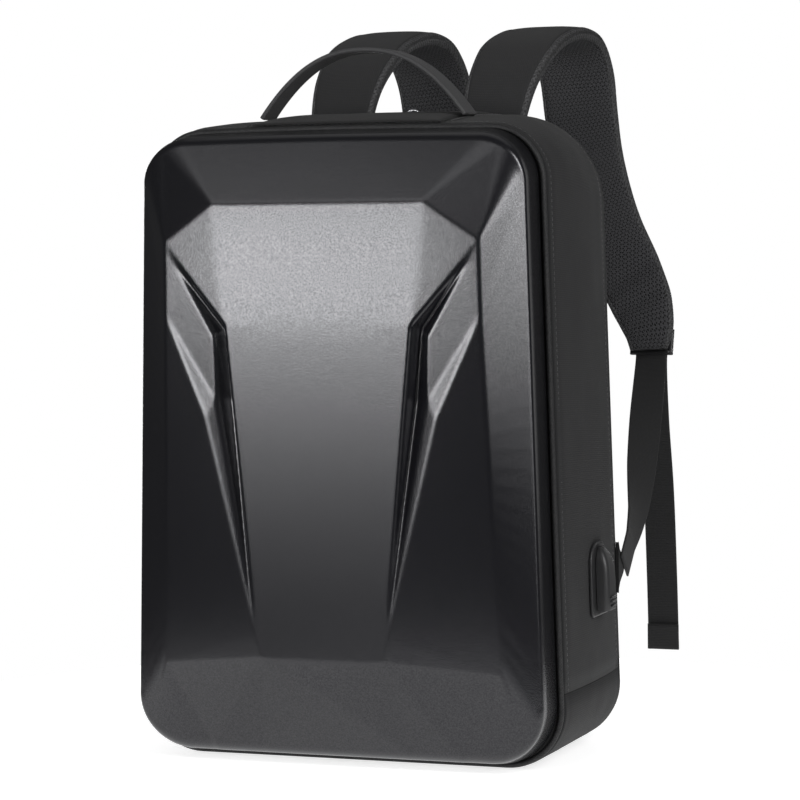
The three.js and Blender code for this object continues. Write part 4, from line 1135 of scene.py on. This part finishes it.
def band(name, centres, width, thick, across=RIGHT, turns=None):
    """A flat band with rounded edges, turned about its path by the given degrees at each point."""
    w, h = width / 2, thick / 2
    right = [(w - h + h * math.cos(t), h * math.sin(t)) for t in (math.pi / 8 * k for k in range(-4, 5))]
    top = [(w * s, h) for s in (0.86, 0.8, 0.6, 0.3, 0.0, -0.3, -0.6, -0.8, -0.86)]
    profile = right + top + [(-a, b) for a, b in reversed(right)] + [(-a, -b) for a, b in top]
    rows = []
    for i, c in enumerate(centres):
        side, out = axes(centres, i, across, turns[i] if turns else 0.0)
        rows.append([c + side * a + out * b for a, b in profile])
    return loft(name, rows)


def make_handle(count=72):
    foot = top_height(HANDLE_HALF_SPAN, HANDLE_Y) + 0.3 * MM + HANDLE_THICKNESS * 0.5
    centres = []
    for i in range(count + 1):
        x = -HANDLE_HALF_SPAN * math.cos(math.pi * i / count)
        rise = 1 - abs(x / HANDLE_HALF_SPAN) ** HANDLE_FULLNESS
        centres.append(Vector((x, HANDLE_Y, foot + HANDLE_RISE * rise)))
    handle = band("handle_band", centres, HANDLE_WIDTH, HANDLE_THICKNESS, REARWARD)
    place(handle, HANDLE_CLOTH, "handle_fabric", "grab_handle")


make_top()
make_handle()


# Shoulder straps: [right, left, back, up, wide, thick], as shares of the named sizes

STRAP_PATH = (
    (0, 0, 0.0, -0.85, 0.76, 0.8),
    (0, 0, 0.0, -0.4, 0.76, 0.9),
    (0, 0, 0.025, 0.0, 0.8, 1),
    (0.02, 0, 0.12, 0.44, 0.9, 1),
    (0.05, -0.02, 0.29, 0.8, 1, 1),
    (0.08, -0.05, 0.49, 1.0, 1, 1),
    (0.13, -0.1, 0.71, 1.08, 1, 1),
    (0.18, -0.16, 0.91, 0.96, 1, 1),
    (0.21, -0.23, 1.02, 0.6, 1, 1),
    (0.24, -0.27, 1.05, 0.12, 0.98, 1),
    (0.32, -0.26, 1.04, -0.42, 0.96, 1),
    (0.47, -0.11, 1.01, -0.92, 0.93, 1),
    (0.66, 0.15, 0.98, -1.38, 0.9, 1),
    (0.94, 0.48, 0.94, -1.88, 0.87, 1),
    (1.16, 0.76, 0.9, -2.3, 0.8, 0.95),
    (1.27, 0.94, 0.87, -2.62, 0.66, 0.85),
    (1.29, 0.98, 0.85, -2.86, 0.5, 0.75),
)


def spline(points, count, extra=()):
    """Centripetal Catmull-Rom through points, with count steps; extra columns are interpolated along it."""
    knots = [0.0]
    for a, b in zip(points, points[1:]):
        knots.append(knots[-1] + math.sqrt((b - a).length))
    knots = [2 * knots[0] - knots[1], *knots, 2 * knots[-1] - knots[-2]]
    controls = [points[0] * 2 - points[1], *points, points[-1] * 2 - points[-2]]
    fine, spots = [], []
    for i in range(len(points) - 1):
        for k in range(24):
            t = lerp(knots[i + 1], knots[i + 2], k / 24)
            level = controls[i:i + 4]
            for starts, reach in (((0, 1, 2), 1), ((0, 1), 2), ((1,), 1)):
                shares = [(t - knots[i + s]) / (knots[i + s + reach] - knots[i + s]) for s in starts]
                level = [lerp(a, b, share) for a, b, share in zip(level, level[1:], shares)]
            fine.append(level[0])
            spots.append(i + k / 24)
    fine.append(points[-1].copy())
    spots.append(float(len(points) - 1))
    marks = marks_of(fine)
    made, columns = [], []
    at = 0
    for n in range(count + 1):
        mark = marks[-1] * n / count
        while at < len(fine) - 2 and marks[at + 1] < mark:
            at += 1
        t = (mark - marks[at]) / max(1e-9, marks[at + 1] - marks[at])
        made.append(fine[at].lerp(fine[at + 1], t))
        if extra:
            spot = lerp(spots[at], spots[at + 1], t)
            i = min(int(spot), len(points) - 2)
            columns.append([lerp(a, b, spot - i) for a, b in zip(extra[i], extra[i + 1])])
    return made, columns


def strap_points(side):
    sign, column = (1, 0) if side == "right" else (-1, 1)
    points = []
    for row in STRAP_PATH:
        points.append(Vector((
            sign * (STRAP_ROOT_X + row[column] * STRAP_WIDTH),
            PLATE_REAR + 0.6 * MM + row[5] * STRAP_THICKNESS / 2 + row[2] * STRAP_REACH,
            BODY_HEIGHT + BODY_BACK_RISE + row[3] * STRAP_RISE,
        )))
    return points


STRAP_STEPS = 110
STRAP_TACKS = (322 * MM, 340 * MM)
BINDING_RADIUS = 2.9 * MM


def strap_row(c, across, out, inner, height):
    """A half of the strap's section: height gives it at shares across, and it is closed flat."""
    shares = [-1 + 2 * k / 14 for k in range(15)]
    face = [(s * inner, height(s)) for s in shares] + [(inner, 0.0), (-inner, 0.0)]
    return [c + across * a + out * b for a, b in face]


def make_strap(side):
    """A padded strap: its cloth cover, the mesh under it and a binding along each edge."""
    centres, columns = spline(strap_points(side), STRAP_STEPS, [row[4:] for row in STRAP_PATH])
    cover, under, edges = [], [], ([], [])
    for i, (c, (wide, thick)) in enumerate(zip(centres, columns)):
        across, out = axes(centres, i)
        w, h = wide * STRAP_WIDTH / 2, thick * STRAP_THICKNESS / 2
        end = min(1.0, i / 3, (STRAP_STEPS - i) / 3)
        h *= 0.72 + 0.28 * math.sqrt(max(0.0, 1 - (1 - end) ** 2))
        dent = 0.35 * MM * drape_noise(c, 0.05, 21)
        grid = 0.35 * MM * drape_noise(c, 0.03, 27)
        if c.y > BACK + 0.5 * STRAP_REACH:
            grid -= sum(3.2 * MM * dip_at(c.z - level, 5 * MM) for level in STRAP_TACKS)
        inner = w - 2.4 * MM
        cover.append(strap_row(c, across, out, inner, lambda s: -(
            h * (0.72 + 0.28 * (1 - abs(s) ** 3.0)) + dent * (1 - s * s))))
        under.append(strap_row(c, across, out, inner, lambda s: (
            h * (0.7 + 0.3 * (1 - abs(s) ** 3.0)) + grid * (1 - s * s))))
        for rows, sign in zip(edges, (-1, 1)):
            rim = c + across * (sign * (w - BINDING_RADIUS))
            rows.append(oval(rim, across, out, BINDING_RADIUS, h * 0.78, 12))
    node = "shoulder_strap_" + side
    for name, rows, material, slot in (
        ("strap_cover_", cover, STRAP_CLOTH, "strap_fabric"), ("strap_mesh_", under, AIR_MESH, "air_mesh"),
    ):
        piece = loft(name + side, rows)
        place(piece, material, slot, node)
    for k, rows in enumerate(edges):
        place(loft("strap_binding_%s_%d" % (side, k + 1), rows), BINDING, "strap_fabric", node)


# Slide locks and webbing

LOCK_WIDTH = 35 * MM
LOCK_HEIGHT = 21 * MM
LOCK_THICKNESS = 4 * MM
LOCK_BAR = 4.6 * MM
LOCK_LIFT = 0.8 * MM
WEBBING_DROP = 2.6 * MM
TAIL_END_HEIGHT = 45 * MM
HEM_LENGTH = 20 * MM
ANCHOR_HEIGHT = 129 * MM
ANCHOR_LENGTH = 38 * MM
ANCHOR_REACH = 15 * MM
ANCHOR_THICKNESS = 2.4 * MM
LEG_PATH = ((0, 0, 0, 0), (0.25, 0.35, 14, 0.12), (0.5, 0.7, 40, 0.2), (0.75, 0.98, 74, 0.12),
            (0.88, 1, 90, 0.04), (1, 1, 90, 0))
TAIL_PATH = ((0, 0, 0), (0, 0.16, 0.2), (0.12, 0.24, 0.45), (0.24, 0.12, 0.75), (0.32, 0, 1))


def make_lock(side, centre, tilt):
    """A ladder lock: a rounded frame with three bars."""
    w, h = LOCK_WIDTH / 2, LOCK_HEIGHT / 2
    gap = (LOCK_HEIGHT - 3 * LOCK_BAR) / 2 + LOCK_BAR
    inner, outer = w - 1.5 * MM, h - 0.4 * MM
    ends = [((-inner, y), (inner, y), 0.75 if y == 0 else 1.0) for y in (-gap, 0.0, gap)]
    ends += [((x, -outer), (x, outer), 1.0) for x in (-w + LOCK_BAR / 2, w - LOCK_BAR / 2)]
    bars = []
    for start, end, thick in ends:
        start, end = Vector((*start, 0)), Vector((*end, 0))
        across = UP.cross((end - start).normalized())
        size = (LOCK_BAR / 2, LOCK_THICKNESS * thick / 2)
        rows = [oval(start.lerp(end, i / 10), across, UP, *size, 12, 0.6) for i in range(11)]
        bars.append(loft("bar", rows))
    piece = join("ladder_lock_" + side, bars)
    piece.data.transform(Matrix.Translation(centre) @ Matrix.Rotation(math.pi / 2 - tilt, 4, "X"))
    place(piece, PLASTIC, "moulded_plastic", "slide_lock_" + side)


def make_webbing(side):
    """A strap's lock, the webbing from it to the side of the back, the tab it is sewn to, and the free tail."""
    sign = 1 if side == "right" else -1
    points = strap_points(side)
    end, before = points[-1], points[-3]
    tilt = math.atan2(before.y - end.y, before.z - end.z)
    clear = (STRAP_THICKNESS + LOCK_THICKNESS) / 2 + 0.3 * MM + LOCK_LIFT
    lock = Vector((end.x, end.y + clear, end.z + LOCK_HEIGHT / 4))
    make_lock(side, lock, tilt)
    half = LOCK_HEIGHT / 2
    foot = Vector((lock.x, lock.y - half * math.sin(tilt), lock.z - half * math.cos(tilt)))
    leg_top = Vector((foot.x, foot.y - 1 * MM, foot.z - WEBBING_DROP))
    inside = side_width(BACK, ANCHOR_HEIGHT - ANCHOR_LENGTH / 2, PLATE_INSET) + 0.3 * MM
    outside = inside + ANCHOR_THICKNESS + 0.3 * MM + WEBBING_THICKNESS / 2
    anchor = Vector((sign * outside, BACK + ANCHOR_REACH - 4 * MM, ANCHOR_HEIGHT))
    behind = Vector((lock.x, end.y + clear - (LOCK_THICKNESS + WEBBING_THICKNESS) / 2 - 0.2 * MM, end.z))
    path = [behind + Vector((0, 0, 9 * MM)), behind + Vector((0, 0, 3 * MM))]
    for along, aside, _, sag in LEG_PATH:
        path.append(Vector((
            lerp(leg_top.x, anchor.x, aside),
            lerp(leg_top.y, anchor.y, along) - sag * WEBBING_WIDTH,
            lerp(leg_top.z, anchor.z, along) - sag * WEBBING_WIDTH,
        )))
    centres, columns = spline(path, 66, [(0,), (0,)] + [(row[2],) for row in LEG_PATH])
    turns = [-sign * turn for turn, in columns]
    leg = band("webbing_leg_" + side, centres, WEBBING_WIDTH, WEBBING_THICKNESS, turns=turns)
    place(leg, WEBBING, "webbing", "lower_webbing_" + side)
    drop = leg_top.z - TAIL_END_HEIGHT
    before = lock + Vector((0, (LOCK_THICKNESS + WEBBING_THICKNESS) / 2 + 0.2 * MM, 0))
    path = [before + Vector((0, 0, 6 * MM)), before + Vector((0, 0, -2 * MM))]
    for aside, back, down in TAIL_PATH:
        path.append(Vector((
            leg_top.x + sign * aside * WEBBING_WIDTH,
            foot.y + WEBBING_THICKNESS + back * WEBBING_WIDTH,
            leg_top.z - down * drop,
        )))
    centres, _ = spline(path, 76)
    tail = band("tail_" + side, centres, WEBBING_WIDTH, WEBBING_THICKNESS)
    place(tail, WEBBING, "webbing", "webbing_tail_" + side)
    end = centres[-1]
    gap = WEBBING_THICKNESS + 0.3 * MM
    fold = [Vector((end.x, end.y - gap, end.z + HEM_LENGTH * (1 - k / 8))) for k in range(9)]
    hem = band("hem_" + side, fold, WEBBING_WIDTH + 0.6 * MM, WEBBING_THICKNESS)
    place(hem, WEBBING, "webbing", "tail_hem_" + side)
    first = inside if sign > 0 else -inside - ANCHOR_THICKNESS
    verts, faces = [], []
    for x in (0.0, ANCHOR_THICKNESS):
        for k in range(15):
            t = k / 14
            near = ANCHOR_LENGTH * (t - 0.5)
            reach = max(0.4 * MM, ANCHOR_REACH * (1 - abs(2 * t - 1) ** 2.2))
            for y, z in ((0.0, near), (reach, lerp(near, 0.002, 0.35))):
                verts.append((first + x, PLATE_FRONT + y, ANCHOR_HEIGHT + z))
    half = len(verts) // 2
    for a in range(0, half - 2, 2):
        b = a + half
        faces += [(a, a + 1, a + 3, a + 2), (b, b + 2, b + 3, b + 1)]
        faces += [(a, a + 2, b + 2, b), (a + 1, b + 1, b + 3, a + 3)]
    faces += [(0, half, half + 1, 1), (half - 2, half - 1, 2 * half - 1, 2 * half - 2)]
    tab = make("side_tab_" + side, verts, faces)
    edges = tab.modifiers.new("edges", "BEVEL")
    edges.width = 0.7 * MM
    edges.segments = 3
    edges.limit_method = "ANGLE"
    edges.angle_limit = math.radians(40)
    sharpen(tab, 50)
    place(tab, TRIM_CLOTH, "trim_fabric", "webbing_anchor_" + side)


for strap_side in ("right", "left"):
    make_strap(strap_side)
    make_webbing(strap_side)


# Charging port and zip slider: the hood is [up, proud, wide] as shares of its size

HOOD_FORM = (
    (-0.5, 0.96, 0.98), (-0.48, 1, 1), (-0.2, 1, 1), (0.0, 1, 1), (0.1, 0.99, 0.99), (0.18, 0.97, 0.97),
    (0.26, 0.91, 0.93), (0.32, 0.82, 0.86), (0.38, 0.69, 0.76), (0.42, 0.56, 0.66), (0.46, 0.41, 0.52),
    (0.49, 0.26, 0.4), (0.5, 0.18, 0.33),
)
FLANGE_FORM = ((0, 0.2), (0.9, 0.0), (1.5, 0.15), (1.9, 0.6), (2.0, 1.2), (2.0, 2.2), (1.55, 2.8), (1.55, 5.0))


def port_frame():
    low = side_width(PORT_Y, PORT_HEIGHT - 20 * MM)
    high = side_width(PORT_Y, PORT_HEIGHT + 20 * MM)
    lean = math.atan2(low - high, 40 * MM)
    at = Vector((side_width(PORT_Y, PORT_HEIGHT) + 0.6 * MM, PORT_Y, PORT_HEIGHT))
    return Matrix.Translation(at) @ Matrix.Rotation(-lean, 4, "Y")


def rounded(width, height, top_radius, low_radius, steps=10):
    w, h = width / 2, height / 2
    points = []
    for cx, cy, r, start in (
        (w - low_radius, -h + low_radius, low_radius, -0.5), (w - top_radius, h - top_radius, top_radius, 0.0),
        (-w + top_radius, h - top_radius, top_radius, 0.5), (-w + low_radius, -h + low_radius, low_radius, 1.0),
    ):
        for k in range(steps + 1):
            t = math.pi * (start + 0.5 * k / steps)
            points.append((cx + r * math.cos(t), cy + r * math.sin(t)))
    return points


def make_port():
    frame_at = port_frame()
    rows = []
    for x, inset in FLANGE_FORM:
        inset = inset * MM
        shape = rounded(FLANGE_WIDTH - 2 * inset, FLANGE_HEIGHT - 2 * inset,
                        FLANGE_WIDTH * 0.42 - inset, max(1.0 * MM, 4 * MM - inset))
        rows.append([frame_at @ Vector((x * MM, y, z)) for y, z in shape])
    flange = loft("port_plate", rows)
    sharpen(flange, 60)
    place(flange, RUBBER, "port_rubber", "port_flange")
    rows = []
    for up, proud, wide in HOOD_FORM:
        w, d = HOOD_WIDTH / 2 * wide, HOOD_PROUD * proud
        r = min(4.2 * MM, d * 0.6, w * 0.6)
        turns = [math.pi / 2 * k / 6 for k in range(7)]
        profile = [(0.0, -w)] + [(d - r + r * math.sin(t), -w + r - r * math.cos(t)) for t in turns]
        profile += [(x, -y) for x, y in reversed(profile)]
        rows.append([frame_at @ Vector((x + 2.3 * MM, y, up * HOOD_HEIGHT)) for x, y in profile])
    hood = loft("port_cover", rows)
    sharpen(hood, 50)
    place(hood, RUBBER, "port_rubber", "port_hood")
    for i in range(3):
        z = -HOOD_HEIGHT / 2 + 3 * MM + i * 3.2 * MM
        rows = []
        for k in range(13):
            s = -1 + 2 * k / 12
            girth = 0.55 * MM * (1.25 if abs(s) < 0.98 else 0.5)
            centre = Vector((2.95 * MM + HOOD_PROUD, s * HOOD_WIDTH * 0.31, z))
            rows.append([frame_at @ p for p in oval(centre, RIGHT, UP, girth, girth, 8)])
        place(loft("port_grip_%d" % (i + 1), rows), RUBBER, "port_rubber", "port_rib_%d" % (i + 1))


def make_slider():
    x, y = 7 * MM, BACK - 11 * MM
    z = top_height(x, y) + 0.3 * MM
    rows = []
    for k in range(17):
        s = -1 + 2 * k / 16
        half = 4.0 * MM * (1 - 0.28 * (0.5 + 0.5 * s)) * math.sqrt(max(0.08, 1 - abs(s) ** 8))
        thick = 1.5 * MM * (1 if abs(s) < 0.95 else 0.7)
        rows.append(oval(Vector((x, y + s * 6.5 * MM, z + 1.5 * MM)), RIGHT, UP, half, thick, 16, 0.5))
    body = loft("slider_body", rows)
    rows = []
    for k in range(25):
        turn = math.pi * k / 24
        centre = Vector((x + 5.2 * MM * math.cos(turn), y, z + 1.2 * MM + 3.4 * MM * math.sin(turn)))
        out = RIGHT * math.cos(turn) + UP * math.sin(turn)
        rows.append(oval(centre, out, REARWARD, 0.75 * MM, 1.3 * MM, 10))
    place(join("slider", [body, loft("bridge", rows)]), METAL, "slider_metal", "zip_slider")


make_port()
make_slider()


# Stitching


def planned_stitches():
    rows = []
    for y in (FRONT + 7 * MM, BACK - 7 * MM):
        points = wall_path(y, True, -0.05 * MM)
        normals = [outward(points, i) for i in range(len(points))]
        rows.append(([p - out * 0.5 * MM for p, out in zip(at_depth(points, y), normals)], normals))
    for x in (-TOP_PANEL_HALF - 4 * MM, TOP_PANEL_HALF + 4 * MM):
        depths = [lerp(FRONT + 10 * MM, BACK - 10 * MM, k / 20) for k in range(21)]
        path = [Vector((x, y, top_height(x, y) + 0.35 * MM)) for y in depths]
        rows.append((path, [UP] * len(path)))
    return rows


sew(planned_stitches())


# Floor, light and camera

FLOOR_RADIUS = 0.47
FLOOR_DROP = 0.6 * MM
CAMERA_ANGLES = (20.59, 3.55, 0.75)
CAMERA_TARGET = Vector((0.0396, -0.067, 0.2612))
CAMERA_DISTANCE = 2.194
CAMERA_LENS = 138.105
FRONT_PROFILE = (
    (0.0, 0.005), (0.09, 0.02), (0.2, 0.085), (0.34, 0.075), (0.375, 0.14), (0.39, 0.8), (0.44, 1.0),
    (0.61, 1.0), (0.63, 0.3), (0.66, 0.1), (0.77, 0.08), (1.0, 0.07),
)
SIDE_PROFILE = ((0.0, 0.04), (0.16, 0.22), (0.3, 0.62), (0.42, 0.95), (0.6, 1.0), (1.0, 0.8))


def soft_light(name, at, towards, width, height, radiance, profile=None):
    """A softbox. profile is its brightness at heights from 0, its lower edge, to 1."""
    data = bpy.data.lights.new(name, "AREA")
    data.shape = "RECTANGLE"
    data.size = width
    data.size_y = height
    data.energy = radiance * math.pi * width * height
    if profile:
        data.use_nodes = True
        tree = data.node_tree
        place_in = tree.nodes.new("ShaderNodeNewGeometry")
        split = tree.nodes.new("ShaderNodeSeparateXYZ")
        curve = tree.nodes.new("ShaderNodeFloatCurve")
        points = curve.mapping.curves[0].points
        points[0].location, points[1].location = profile[0], profile[-1]
        for spot in profile[1:-1]:
            points.new(*spot)
        for point in points:
            point.handle_type = "VECTOR"
        curve.mapping.update()
        tree.links.new(place_in.outputs["Parametric"], split.inputs["Vector"])
        tree.links.new(split.outputs["Y"], curve.inputs["Value"])
        tree.links.new(curve.outputs["Value"], tree.nodes["Emission"].inputs["Strength"])
    lamp = add(name, data)
    lamp.location = at
    lamp.rotation_euler = (Vector(towards) - Vector(at)).to_track_quat("-Z", "Y").to_euler()
    lamp.visible_camera = False


def make_floor():
    """A round pale board that glows evenly at its edge and takes the bag's soft shadow close by."""
    points = oval(UP * -FLOOR_DROP, RIGHT, REARWARD, FLOOR_RADIUS, FLOOR_RADIUS, 96)
    mesh = bpy.data.meshes.new("floor")
    mesh.from_pydata([tuple(p) for p in points], [], [range(len(points))])
    floor = add("floor", mesh)
    look = Shader("floor_paper", (0.6, 0.6, 0.6), 0.9, specular=0.0)
    reach = look.node("ShaderNodeVectorMath", {0: look.spot()}, operation="LENGTH")
    glow = look.remap(reach.outputs["Value"], 0.24, 0.43, 0.75, 1.0)
    look.put(look.shader, {"Emission Color": (1, 1, 1, 1), "Emission Strength": glow})
    mesh.materials.append(look.material)


def make_world():
    """White behind the bag, and a faint light from all sides."""
    world = bpy.data.worlds.new("studio")
    bpy.context.scene.world = world
    world.use_nodes = True
    tree = world.node_tree
    tree.nodes.clear()
    out = tree.nodes.new("ShaderNodeOutputWorld")
    path = tree.nodes.new("ShaderNodeLightPath")
    mix = tree.nodes.new("ShaderNodeMixShader")
    for socket, strength in ((1, 0.08), (2, 1.0)):
        glow = tree.nodes.new("ShaderNodeBackground")
        glow.inputs["Color"].default_value = (1, 1, 1, 1)
        glow.inputs["Strength"].default_value = strength
        tree.links.new(glow.outputs["Background"], mix.inputs[socket])
    tree.links.new(path.outputs["Is Camera Ray"], mix.inputs["Fac"])
    tree.links.new(mix.outputs["Shader"], out.inputs["Surface"])


def make_camera():
    yaw, elevation, roll = (math.radians(angle) for angle in CAMERA_ANGLES)
    right = Vector((math.cos(yaw), math.sin(yaw), 0))
    back = right.cross(UP) * math.cos(elevation) + UP * math.sin(elevation)
    up = back.cross(right)
    turned_right = right * math.cos(roll) - up * math.sin(roll)
    turned_up = right * math.sin(roll) + up * math.cos(roll)
    data = bpy.data.cameras.new("camera")
    data.sensor_width = 36
    data.lens = CAMERA_LENS
    data.clip_start = 0.05
    camera = add("camera", data)
    matrix = Matrix((turned_right, turned_up, back)).transposed().to_4x4()
    matrix.translation = CAMERA_TARGET + back * CAMERA_DISTANCE
    camera.matrix_world = matrix
    bpy.context.scene.camera = camera


make_floor()
make_world()
make_camera()
soft_light("front_left", (-0.41, -1.13, 0.39), (0.0, -0.12, 0.39), 0.72, 0.78, 15.5, FRONT_PROFILE)
soft_light("front_high", (-0.28, -1.05, 1.26), (0.0, -0.1, 0.42), 1.4, 0.66, 1.3)
soft_light("right_front", (1.02, -0.58, 0.72), (0.12, -0.1, 0.72), 0.3, 1.36, 14.0, SIDE_PROFILE)
soft_light("overhead", (0.0, 0.5, 1.7), (0.0, 0.05, 0.3), 1.5, 0.9, 0.25)
soft_light("right_back", (1.05, 1.35, 0.55), (0.14, 0.0, 0.3), 0.7, 1.1, 0.45)
soft_light("back", (-0.5, 1.6, 0.33), (0.0, 0.1, 0.33), 1.5, 0.6, 7.0)

bpy.context.scene.view_settings.view_transform = "Standard"
